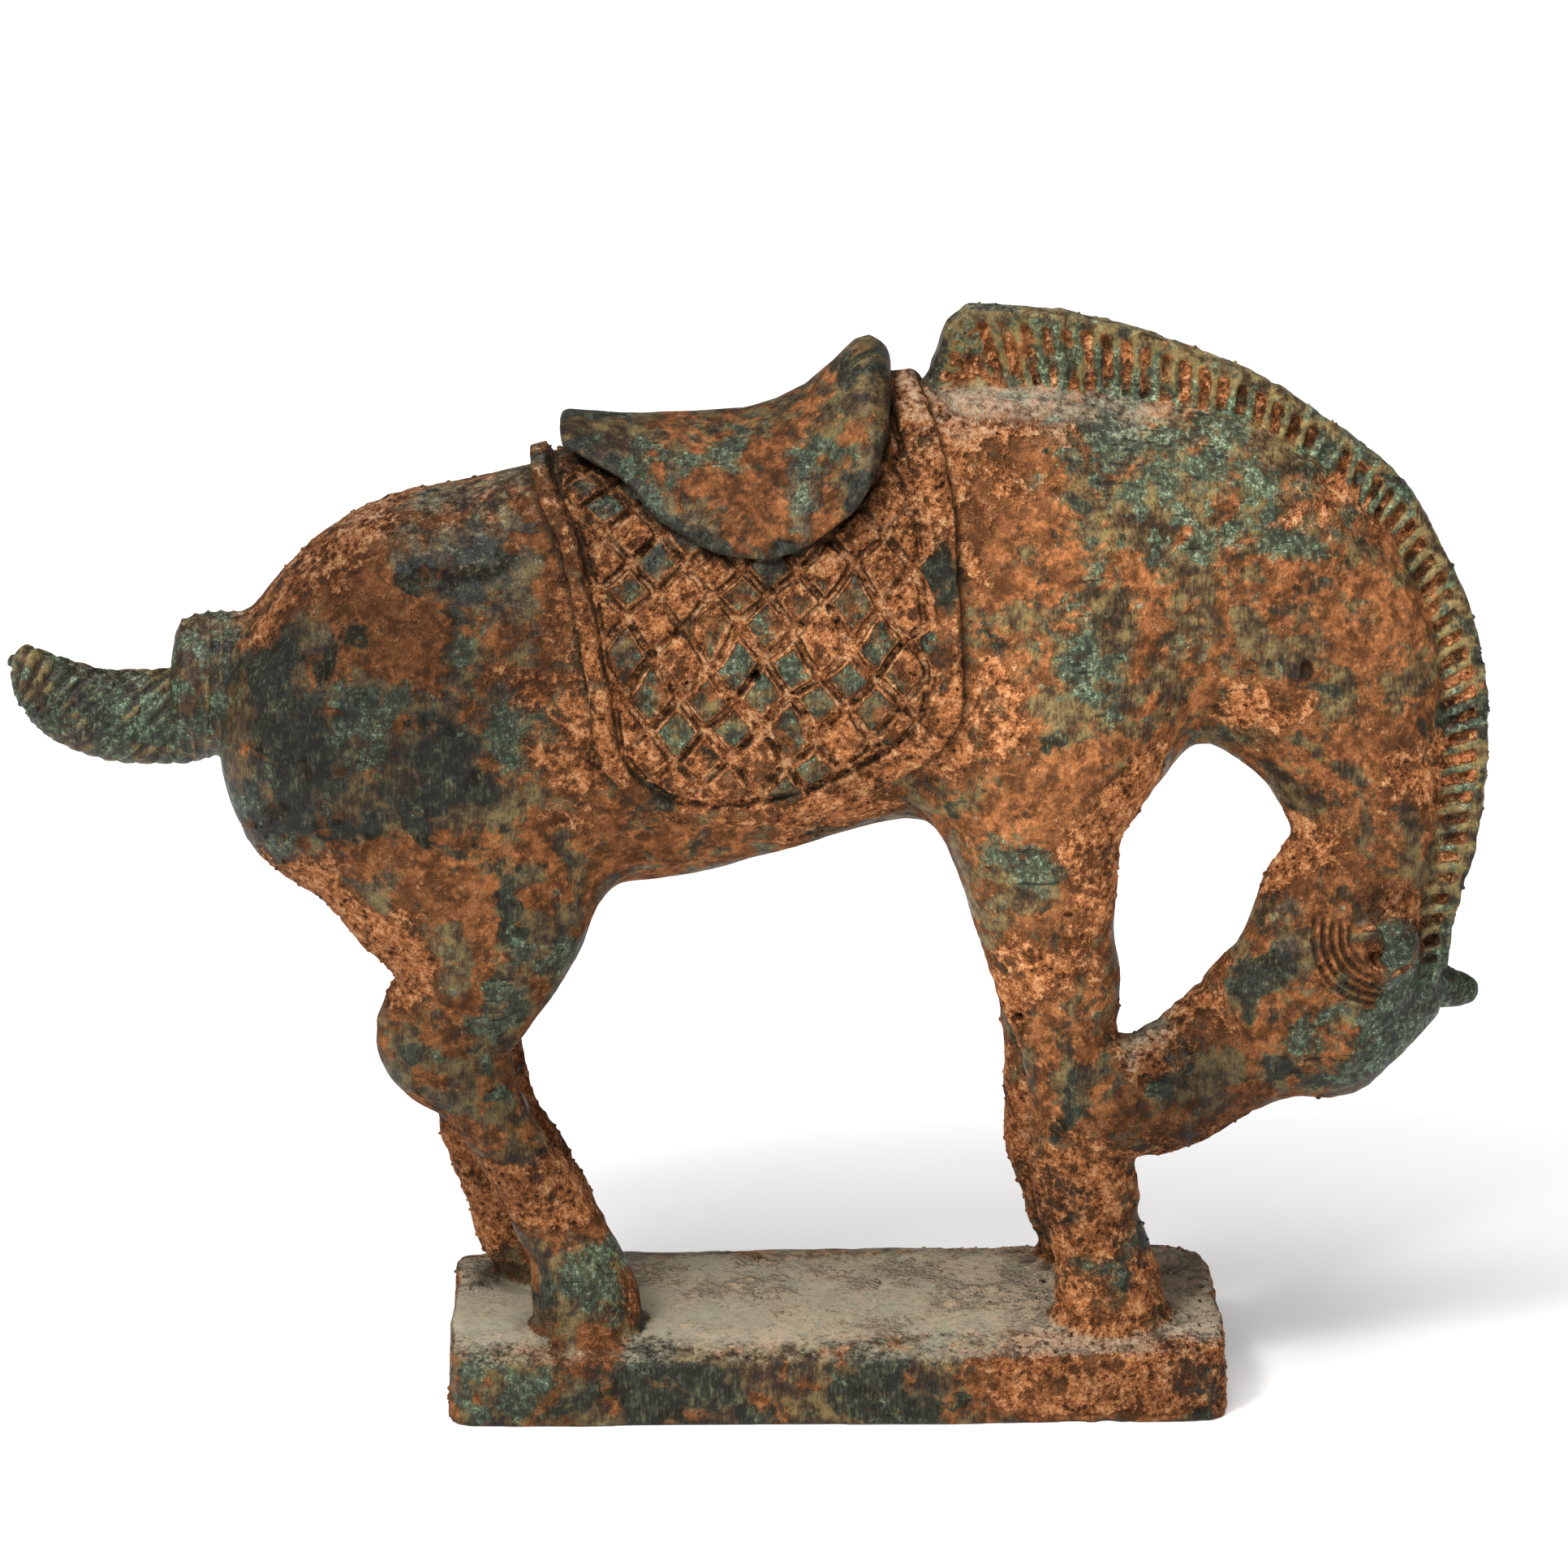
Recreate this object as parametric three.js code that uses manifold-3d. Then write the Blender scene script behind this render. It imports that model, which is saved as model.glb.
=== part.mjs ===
import * as THREE from 'three';
import { mergeVertices } from 'three/addons/utils/BufferGeometryUtils.js';
import Module from 'manifold-3d';

// Bronze horse with saddle and saddle cloth, grazing, cast in one piece with its plinth.
// Millimetres, +Z up, +X towards the horse's head, +Y to the horse's left side.
// The origin is the middle of the plinth's flat underside.
//
// The casting is described by one distance function: it gives how far a point is outside
// the metal (positive) or inside it (negative). Limbs, cloth, saddle and mane are shapes in
// that function, blended where the wax was smoothed. A closed surface is then laid along
// the places where the function is zero, and thinned to as few triangles as the form needs.

// Plinth
const PLINTH_LENGTH = 221;
const PLINTH_WIDTH = 92;
const PLINTH_HEIGHT = 22.5;
const PLINTH_TILT = 0.009;
const PLINTH_CORNER = 8;
const PLINTH_REAR_CORNER = 15;
const PLINTH_ROUND_CORNER = 27;
const PLINTH_EDGE_ROUND = 2.5;
const PLINTH_DRAFT = 0.05;
const CROWN_DROP = 3.5;
const CROWN_START = 30;
const EDGE_WAVER = 0.35;
const EDGE_WAVE_LENGTHS = [19, 11, 37];
const PLINTH_SPARE = 5;

// Stations along each part of the body: x, y, z, half height and half width.
const SPINE = [
  [-135, 0, 206, 38.5, 34], [-116, 0, 216, 45.5, 41], [-90, 0, 212.2, 55.7, 43], [-62, 0, 212, 62, 44],
  [-35, 0, 217, 61, 45], [-7, 0, 224.5, 60.3, 45], [16, 0, 230.5, 62.3, 43], [38, 0, 232, 63, 39],
  [68, 0, 240, 52.5, 33], [103, 0, 240, 45.5, 27], [128, 0, 222, 39.2, 23], [143, -4, 197, 28.5, 19],
  [150, -8, 171, 21.5, 16.5], [149.5, -12, 156, 20.5, 15], [147, -14, 142, 18, 14],
];
const BREAST = [[48, 0, 208, 38, 34], [64, 0, 202, 36.5, 32]];
const HEAD = [
  [152, -15, 130, 15, 13], [140, -16, 118, 21, 15], [122, -18, 110, 21, 14.5], [104, -21, 98.6, 19, 13],
  [93, -24, 93, 18.7, 12.5], [84.3, -27, 91, 16.4, 11.5],
];
const JOWL = [[137, -14, 147, 17.3, 12], [130, -17, 131, 16.5, 15], [121, -19, 119.5, 14.7, 14]];
const FOREHEAD = [
  [163.5, -8, 115, 10, 9], [154, -13, 106.5, 9.8, 11], [143, -16, 99.5, 11, 12],
  [133, -17, 100.5, 10.7, 12],
];
const RUMP = [[-131, 16, 190, 42.4, 27], [-116, 19, 182, 42, 26]];
const RIGHT_HIND_LEG = [
  [-107, -20, 172, 44.5, 25], [-101.5, -24, 146, 30, 18], [-104, -23, 126, 21, 14],
  [-112.3, -23, 109.5, 19, 12.5], [-105.5, -23, 97.5, 13.6, 11], [-100, -23, 88, 11, 10],
  [-92.5, -23, 74.5, 10.2, 9.5], [-85.5, -23, 63.5, 11.2, 10], [-81, -23, 54, 11.9, 10.5],
  [-76, -23, 44, 12.4, 11.5], [-73, -23, 33, 15, 13.5], [-71, -23, 20, 15, 14.5],
];
const LEFT_HIND_LEG = [
  [-105, 19, 172, 42, 25], [-99, 21, 145, 28, 18], [-100, 21, 123, 19, 14], [-106, 21, 105, 16.5, 12.5],
  [-103.5, 21, 89, 13.2, 11], [-100.5, 21, 71, 14.8, 10], [-94.5, 21, 57, 16.3, 11],
  [-90, 21, 47, 17.4, 12], [-87, 21, 38, 17.8, 13], [-80, 21, 28, 15.8, 14], [-78, 21, 20, 15.5, 14.5],
];
const RIGHT_FORELEG = [
  [56, -16, 226, 37, 24], [56, -20, 196, 33, 23], [55, -22, 175, 26, 21], [57, -22, 157, 22, 19],
  [59.5, -22, 139, 19, 17], [62.8, -22, 125, 17.5, 16], [65, -22, 109, 14, 14],
  [67, -22, 93, 12.8, 12.5], [68, -22, 77, 13.4, 12], [71.1, -22, 62, 15.2, 13],
  [72.8, -22, 53, 13.6, 12.5], [76, -22, 43, 13.8, 13.5], [77.7, -22, 33, 15.4, 15],
  [79, -22, 20, 16, 15.5],
];
const LEFT_FORELEG = [
  [56, 16, 226, 37, 24], [56, 20, 196, 33, 23], [54, 22, 175, 26, 21], [57, 23, 144, 19, 17],
  [60.5, 24, 122, 16, 15], [62, 24, 106, 14.2, 13], [63, 25, 91, 14, 12], [63.4, 26, 76, 13.6, 12],
  [63.6, 27, 60, 13.3, 11.5], [67.3, 28, 48, 12.4, 11.5], [70.2, 29, 38, 13, 12], [75, 30, 28, 14, 13],
  [77, 30, 20, 14, 13.5],
];
const TAIL_WRAP = [
  [-158, 0, 208.3, 19, 17], [-166, 0, 208, 19.9, 17.2], [-175, 0, 207.5, 20.4, 17.2],
  [-184, 0, 206, 19.4, 16],
];
const TAIL_HORN = [
  [-186, 0, 198, 13, 12], [-198, 0, 197.8, 13.2, 11.5], [-208, 0, 198.8, 12.3, 10.5],
  [-217, 0, 202.5, 11.2, 8.5], [-224, 0, 207.5, 8.8, 6.5], [-228.5, 0, 213.5, 5.2, 4.5],
];
const RIGHT_EAR = [
  [155, -28, 129, 4.2, 5], [156.8, -33, 134.5, 5.8, 4.2], [157, -37, 140.5, 6.4, 4],
  [155.8, -38, 145.5, 5.2, 3.2],
];
const RIGHT_EAR_CUP = [[151, -22, 132, 7.5, 6], [151, -28, 138, 6.4, 4.5]];
const RIGHT_EAR_HOLLOW = [[152, -32, 134, 2.6, 2.8], [150.5, -34.5, 137.5, 4, 3.8], [149, -39, 141, 4.6, 5]];
const LEFT_EAR = [
  [158, -4, 121, 11, 9], [168, 1, 116.5, 8.2, 7], [176.5, 4, 113.8, 5.8, 5], [181, 5, 113, 4.2, 3.8],
];

// Mane: a fin along the crest, with a straight front. Its outline in side view, x and z.
const MANE_FRONT = [[26, 300], [30, 311]];
const MANE_EDGE = [
  [36, 316], [58, 315], [77, 311.5], [95, 305.5], [113, 298.3], [131, 288.2], [150, 274], [160, 265],
  [169, 250], [176, 236.5], [181.5, 219], [184.6, 199], [184.2, 182], [181, 163], [177, 149],
  [174.5, 138], [173.5, 127], [169, 117],
];
const MANE_ROOT = [[158, 122], [150, 180], [140, 215], [110, 250], [60, 270], [20, 270]];
const MANE_HALF_WIDTH = 4.6;

// Saddle cloth outline in side view
const CLOTH_OUTLINE = [
  [-89, 320], [-87, 276], [-77.5, 254], [-70, 218], [-66, 196], [-53, 181], [-39, 176], [-23, 175],
  [-7, 178], [6, 183], [18, 190], [28, 199], [34, 212], [33, 240], [31.5, 266], [28, 283], [24, 293],
  [20, 301], [17, 310], [16, 320],
];

// Saddle in side view: its lower rim from cantle to pommel, and the line of the seat above.
const SADDLE_RIM = [
  [-79, 320], [-78, 284], [-73, 278.5], [-61, 272.5], [-52, 264.5], [-43, 259.5], [-34, 256],
  [-23, 254.5], [-14, 256], [-5, 261.5], [4, 269], [9.5, 278], [13, 287.5], [14.7, 298], [14.7, 320],
];
const SEAT_LINE = [
  [-80, 286.7], [-60, 285.2], [-40, 285.4], [-26, 286.2], [-17, 289.2], [-9, 293.2], [-1, 300.2],
  [5, 306.2], [9, 307.4], [15, 304],
];

// Mane: locks cut across both sides of the fin, below a plain outer rim
const LOCK_PITCH = 6;
const LOCK_GROOVE = 2.8;
const LOCK_DEPTH = 1.6;
const LOCK_RIM = 3.2;
const LOCK_RIM_SLOPE = 1.5;
const LOCK_SLANT = 0.35;

// Saddle cloth: a rolled rim round a quilted field of lozenges
const RIM_WIDTH_REAR = 5.5;
const RIM_WIDTH_FRONT = 9.5;
const RIM_HEIGHT_REAR = 5.2;
const RIM_HEIGHT_FRONT = 3.2;
const FIELD_HEIGHT = 2.5;
const QUILT_PITCH = 11.2;
const QUILT_GROOVE = 3;
const RIM_LINE_WIDTH = 3;
const RIM_SLOPE = 1.2;
const QUILT_DEPTH = 1.3;
const QUILT_STEEP = THREE.MathUtils.degToRad(50);
const QUILT_SHALLOW = THREE.MathUtils.degToRad(42);
const GIRTH_RADIUS = 52;
const GIRTH_CENTRE = 222;

// Saddle shell: its thickness at the side and on top, and how much the seat bows across
const SADDLE_HEIGHT = 8.5;
const SADDLE_TOP = 22;
const SEAT_BOW = 62;
const SADDLE_CORNER_ROUND = 4;
const SADDLE_EDGE_ROUND = 3;

// Head: brow, cheek plate and the folds round the ear, as centres and radii in side view.
// The relief fades out toward the middle of the face, between two distances from it.
const BROW = { x: 145, z: 104, radius: 12.5, height: 2.2 };
const CHEEK = { x: 127, z: 124, radius: 16.5, height: 1.3, edge: 5 };
const FOLDS = { x: 154.5, z: 140.5, inner: 10, outer: 23, pitch: 4.3, height: 1 };
const RELIEF_START = 5;
const RELIEF_FULL = 9;

// Tail: rings of the binding and twisted strands of the horn
const BINDING_PITCH = 4.6;
const BINDING_DEPTH = 0.6;
const STRAND_COUNT = 9;
const STRAND_DEPTH = 0.6;
const STRAND_TWIST = -0.085;
const WRAP_END = -187.5;
const WRAP_END_ROUND = 6;

// Where each part can be, so that it is left out of the sums elsewhere
const TAIL_START = -140;
const HEAD_START = 50;
const MANE_SPAN = { behind: 15, above: 115 };
const TACK_SPAN = { behind: -95, ahead: 40, above: 165, height: 26 };

const BODY_BLEND = 12;
const LEG_BLEND = 4;
const HEAD_BLEND = 7;
const FOOT_BLEND = 6;
const MANE_BLEND = 3;
const TAIL_BLEND = 4;
const CORD_BLEND = 1.5;
const CLOTH_EDGE_BLEND = 1.5;
const FAR_EAR_BLEND = 3;
const EAR_CUP_BLEND = 2;
const NEAR_EAR_BLEND = 1;

const GRID_STEP = 1.6;
const TRIANGLE_LIMIT = 9400;
const SLIVER_COST = 0.002;
const SLIVER_HEIGHT = 0.06;
const LEAST_AGREEMENT = 0.2;
const FLAT_SHARE = 1e-4;
const STRAY_LIMIT = 1.5;
const BOUNDS = { min: [-240, -58, -8], max: [196, 58, 326] };

const { clamp, lerp, smoothstep } = THREE.MathUtils;

// Smooth union of two distances: rounds the corner between them over a width of blend.
function blendUnion(a, b, blend) {
  const h = Math.max(blend - Math.abs(a - b), 0) / blend;
  return Math.min(a, b) - h * h * blend / 4;
}

function blendIntersection(a, b, blend) {
  return -blendUnion(-a, -b, blend);
}

// One at every whole number of pitches, falling to zero at half a groove's width away.
function groove(position, pitch, width) {
  const offset = Math.abs(position - pitch * Math.round(position / pitch));
  return Math.max(0, 1 - offset / (width / 2));
}

// A tapering oval bar through a few stations, as a list of short straight stretches.
function makeBar(stations, stretchesPerSpan) {
  const spline = points => new THREE.CatmullRomCurve3(points, false, 'catmullrom', 0.5);
  const centres = spline(stations.map(([x, y, z]) => new THREE.Vector3(x, y, z)));
  const radii = spline(stations.map(([, , , height, width]) => new THREE.Vector3(height, width, 0)));
  const count = (stations.length - 1) * stretchesPerSpan;
  const stretches = [];
  const box = new THREE.Box3();
  for (let i = 0; i < count; i++) {
    const start = centres.getPoint(i / count);
    const end = centres.getPoint((i + 1) / count);
    const startRadii = radii.getPoint(i / count);
    const endRadii = radii.getPoint((i + 1) / count);
    stretches.push({ start, end, startRadii, endRadii });
    for (const [centre, radius] of [[start, startRadii], [end, endRadii]]) {
      const reach = new THREE.Vector3(radius.x, radius.y, radius.x);
      box.expandByPoint(centre.clone().add(reach));
      box.expandByPoint(centre.clone().sub(reach));
    }
  }
  return { stretches, box };
}

// Distance from a bar. Further away than farEnough, the distance from its box will do.
function barDistance(bar, x, y, z, farEnough) {
  const bx = Math.max(bar.box.min.x - x, x - bar.box.max.x, 0);
  const by = Math.max(bar.box.min.y - y, y - bar.box.max.y, 0);
  const bz = Math.max(bar.box.min.z - z, z - bar.box.max.z, 0);
  const boxDistance = Math.sqrt(bx * bx + by * by + bz * bz);
  if (boxDistance > farEnough) return boxDistance;
  let nearest = Infinity;
  for (const { start, end, startRadii, endRadii } of bar.stretches) {
    const squash = (startRadii.x + endRadii.x) / (startRadii.y + endRadii.y);
    const ax = end.x - start.x;
    const ay = (end.y - start.y) * squash;
    const az = end.z - start.z;
    const px = x - start.x;
    const py = (y - start.y) * squash;
    const pz = z - start.z;
    const t = clamp((px * ax + py * ay + pz * az) / (ax * ax + ay * ay + az * az), 0, 1);
    const height = startRadii.x + (endRadii.x - startRadii.x) * t;
    const width = startRadii.y + (endRadii.y - startRadii.y) * t;
    const across = (px - ax * t) ** 2 + (pz - az * t) ** 2;
    const sideways = (y - start.y - (end.y - start.y) * t) ** 2;
    const scaled = Math.sqrt(across / height ** 2 + sideways / width ** 2);
    const slope = Math.sqrt(across / height ** 4 + sideways / width ** 4);
    const distance = slope > 0 ? scaled * (scaled - 1) / slope : -Math.min(height, width);
    nearest = Math.min(nearest, distance);
  }
  return nearest;
}

// Joins a bar to a distance, leaving out bars too far away to change it.
function addBar(distance, bar, blend, x, y, z) {
  return blendUnion(distance, barDistance(bar, x, y, z, distance + blend), blend);
}

// A smooth line through points of the side view, as short straight edges.
function makeLine(points) {
  const edgesPerSpan = 4;
  const curve = new THREE.SplineCurve(points.map(([x, z]) => new THREE.Vector2(x, z)));
  return curve.getPoints((points.length - 1) * edgesPerSpan);
}

// Signed distance from a closed outline in side view, and how far along it the nearest point is.
function outlineDistance(outline, x, z) {
  let nearest = Infinity;
  let along = 0;
  let travelled = 0;
  let inside = false;
  for (let i = 0; i < outline.length; i++) {
    const a = outline[i];
    const b = outline[(i + 1) % outline.length];
    const ex = b.x - a.x;
    const ez = b.y - a.y;
    const length = Math.sqrt(ex * ex + ez * ez);
    const t = clamp(((x - a.x) * ex + (z - a.y) * ez) / length ** 2, 0, 1);
    const gap = (x - a.x - ex * t) ** 2 + (z - a.y - ez * t) ** 2;
    if (gap < nearest) {
      nearest = gap;
      along = travelled + length * t;
    }
    travelled += length;
    if ((a.y > z) !== (b.y > z) && x < a.x + (z - a.y) * ex / ez) inside = !inside;
  }
  return { distance: inside ? -Math.sqrt(nearest) : Math.sqrt(nearest), along };
}

// Height of a side-view line at x, by straight pieces.
function lineHeight(points, x) {
  let i = 1;
  while (i < points.length - 1 && points[i][0] < x) i++;
  const [x0, z0] = points[i - 1];
  const [x1, z1] = points[i];
  return lerp(z0, z1, clamp((x - x0) / (x1 - x0), 0, 1));
}

const mirrored = stations => stations.map(([x, y, z, height, width]) => [x, -y, z, height, width]);
const limbs = [RUMP, mirrored(RUMP), RIGHT_HIND_LEG, LEFT_HIND_LEG, RIGHT_FORELEG, LEFT_FORELEG];
const bars = {
  spine: makeBar(SPINE, 8),
  breast: makeBar(BREAST, 2),
  limbs: limbs.map(stations => makeBar(stations, 5)),
  tailWrap: makeBar(TAIL_WRAP, 3),
  tailHorn: makeBar(TAIL_HORN, 3),
  head: makeBar(HEAD, 4),
  jowl: makeBar(JOWL, 2),
  forehead: makeBar(FOREHEAD, 3),
  leftEar: makeBar(LEFT_EAR, 3),
  rightEar: makeBar(RIGHT_EAR, 3),
  rightEarCup: makeBar(RIGHT_EAR_CUP, 2),
  rightEarHollow: makeBar(RIGHT_EAR_HOLLOW, 3),
};
const manePoints = [...MANE_ROOT, ...MANE_FRONT].map(([x, z]) => new THREE.Vector2(x, z));
const maneOutline = [...makeLine(MANE_EDGE), ...manePoints];
const clothOutline = makeLine(CLOTH_OUTLINE);
const saddleOutline = makeLine(SADDLE_RIM);

// The plinth is hand made: its top bulges in the middle and rises a little to the front,
// its edges waver, and the two corners behind are rounder, the one at the left forefoot most.
function plinthDistance(x, y, z) {
  const top = PLINTH_HEIGHT + PLINTH_TILT * x;
  const [front, side, slant] = EDGE_WAVE_LENGTHS;
  const waver = EDGE_WAVER * (Math.sin(x / front) + Math.sin(y / side + x / slant));
  const flare = PLINTH_DRAFT * (top - z) + waver;
  const behind = smoothstep(y, 5, 25) * smoothstep(Math.abs(x), 40, 80);
  const corner = lerp(PLINTH_CORNER, x > 0 ? PLINTH_ROUND_CORNER : PLINTH_REAR_CORNER, behind);
  const qx = Math.abs(x) - PLINTH_LENGTH / 2 + corner - flare;
  const qy = Math.abs(y) - PLINTH_WIDTH / 2 + corner - flare;
  const wall = Math.hypot(Math.max(qx, 0), Math.max(qy, 0)) + Math.min(Math.max(qx, qy), 0) - corner;
  const overhang = Math.max(0, (Math.abs(y) - CROWN_START) / (PLINTH_WIDTH / 2 - CROWN_START));
  const above = blendIntersection(wall, z - top + CROWN_DROP * overhang ** 2, PLINTH_EDGE_ROUND);
  return Math.max(above, -z - PLINTH_SPARE);
}

// The neck and head bow to the right; this is where their middle lies in y.
function neckMiddle(z) {
  return -14 * smoothstep(-z, -225, -142);
}

function headMiddle(x) {
  return -15 - 12 * clamp((150 - x) / 70, 0, 1);
}

function maneDistance(x, y, z) {
  const { distance, along } = outlineDistance(maneOutline, x, z);
  const cut = LOCK_DEPTH * groove(along + distance * LOCK_SLANT, LOCK_PITCH, LOCK_GROOVE);
  const halfWidth = MANE_HALF_WIDTH - cut * smoothstep(-distance, LOCK_RIM, LOCK_RIM + LOCK_RIM_SLOPE);
  return blendIntersection(distance, Math.abs(y - neckMiddle(z)) - halfWidth, 2);
}

// Relief on the sides of the head, as a height above the plain form.
function faceRelief(x, y, z) {
  const fromCheek = Math.hypot(x - CHEEK.x, z - CHEEK.z);
  const towardMuzzle = smoothstep(CHEEK.x - x + 0.6 * (z - CHEEK.z), -4, 6);
  const plate = 1 - smoothstep(fromCheek, CHEEK.radius - CHEEK.edge, CHEEK.radius);
  const ring = Math.hypot(x - FOLDS.x, z - FOLDS.z);
  const sector = smoothstep(-0.4 * (x - FOLDS.x) - (z - FOLDS.z), 0, 4) * smoothstep(FOLDS.x - x, -1, 3);
  const inRing = smoothstep(ring, FOLDS.inner - 1, FOLDS.inner)
    * smoothstep(-ring, -FOLDS.outer, 1 - FOLDS.outer);
  const wave = 0.5 - 0.5 * Math.cos(2 * Math.PI * (ring - FOLDS.inner) / FOLDS.pitch);
  const brow = BROW.height * (1 - smoothstep(Math.hypot(x - BROW.x, z - BROW.z), 0, BROW.radius));
  const relief = CHEEK.height * plate * towardMuzzle + FOLDS.height * wave * sector * inRing + brow;
  return relief * smoothstep(Math.abs(y - headMiddle(x)), RELIEF_START, RELIEF_FULL);
}

function headDistance(x, y, z, farEnough) {
  let d = barDistance(bars.head, x, y, z, farEnough);
  d = addBar(d, bars.jowl, HEAD_BLEND, x, y, z);
  return addBar(d, bars.forehead, HEAD_BLEND, x, y, z);
}

// The face relief and the ears, on the form of neck and head together.
function addFeatures(distance, x, y, z) {
  let d = distance - faceRelief(x, y, z);
  d = addBar(d, bars.leftEar, FAR_EAR_BLEND, x, y, z);
  d = addBar(d, bars.rightEarCup, EAR_CUP_BLEND, x, y, z);
  d = addBar(d, bars.rightEar, NEAR_EAR_BLEND, x, y, z);
  return Math.max(d, -barDistance(bars.rightEarHollow, x, y, z, Infinity));
}

function tailDistance(x, y, z, farEnough) {
  const bar = barDistance(bars.tailWrap, x, y, z, farEnough);
  const wrap = blendIntersection(bar, WRAP_END - x, WRAP_END_ROUND);
  const horn = barDistance(bars.tailHorn, x, y, z, farEnough);
  const binding = BINDING_DEPTH * Math.cos(2 * Math.PI * x / BINDING_PITCH);
  const turn = Math.atan2(y, z - 200) + STRAND_TWIST * x;
  const strands = STRAND_DEPTH * Math.cos(STRAND_COUNT * turn);
  return blendUnion(wrap + Math.max(0, binding), horn + Math.max(0, strands), CORD_BLEND);
}

function horseDistance(x, y, z) {
  let trunk = barDistance(bars.spine, x, y, z, Infinity);
  trunk = addBar(trunk, bars.breast, BODY_BLEND, x, y, z);
  let legs = trunk + BODY_BLEND;
  for (const bar of bars.limbs) legs = addBar(legs, bar, LEG_BLEND, x, y, z);
  let d = blendUnion(trunk, legs, BODY_BLEND);
  if (x < TAIL_START) d = blendUnion(d, tailDistance(x, y, z, d + TAIL_BLEND), TAIL_BLEND);
  if (x > HEAD_START) {
    d = blendUnion(d, headDistance(x, y, z, d + HEAD_BLEND), HEAD_BLEND);
    d = addFeatures(d, x, y, z);
  }
  return d;
}

// How far the saddle cloth stands off the horse: a rim, a sunk line, and the quilted field.
function clothHeight(x, y, z, inward) {
  const front = smoothstep(x, -66, -40);
  const rimWidth = lerp(RIM_WIDTH_REAR, RIM_WIDTH_FRONT, smoothstep(x, -66, 10));
  const rim = lerp(RIM_HEIGHT_REAR, RIM_HEIGHT_FRONT, front);
  const girth = GIRTH_RADIUS * Math.atan2(Math.abs(y) * 4 / 3, z - GIRTH_CENTRE);
  const steep = x * Math.sin(QUILT_STEEP) - girth * Math.cos(QUILT_STEEP);
  const shallow = x * Math.sin(QUILT_SHALLOW) + girth * Math.cos(QUILT_SHALLOW);
  const cut = Math.max(groove(steep, QUILT_PITCH, QUILT_GROOVE), groove(shallow, QUILT_PITCH, QUILT_GROOVE));
  const sunkLine = Math.max(0, 1 - Math.abs(inward - rimWidth - 1) / (RIM_LINE_WIDTH / 2));
  const field = FIELD_HEIGHT - QUILT_DEPTH * Math.max(cut, sunkLine);
  return lerp(rim, field, smoothstep(inward, rimWidth - RIM_SLOPE, rimWidth + RIM_SLOPE / 2));
}

function saddleDistance(x, y, z, body) {
  const rim = outlineDistance(saddleOutline, x, z).distance;
  const upward = Math.cos(clamp(Math.atan2(Math.abs(y), z - GIRTH_CENTRE), 0, Math.PI / 2));
  const shell = body - lerp(SADDLE_HEIGHT, SADDLE_TOP, upward ** 3);
  const seat = z - lineHeight(SEAT_LINE, x) + y * y / SEAT_BOW;
  return blendIntersection(blendIntersection(rim, seat, SADDLE_CORNER_ROUND), shell, SADDLE_EDGE_ROUND);
}

function castingDistance(x, y, z) {
  const body = horseDistance(x, y, z);
  let d = blendUnion(body, plinthDistance(x, y, z), FOOT_BLEND);
  if (x > MANE_SPAN.behind && z > MANE_SPAN.above) d = blendUnion(d, maneDistance(x, y, z), MANE_BLEND);
  const nearTack = x > TACK_SPAN.behind && x < TACK_SPAN.ahead && z > TACK_SPAN.above;
  if (nearTack && body < TACK_SPAN.height) {
    const outline = outlineDistance(clothOutline, x, z).distance;
    const cloth = blendIntersection(body - clothHeight(x, y, z, -outline), outline, CLOTH_EDGE_BLEND);
    d = Math.min(d, cloth, saddleDistance(x, y, z, body));
  }
  return d;
}

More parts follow.
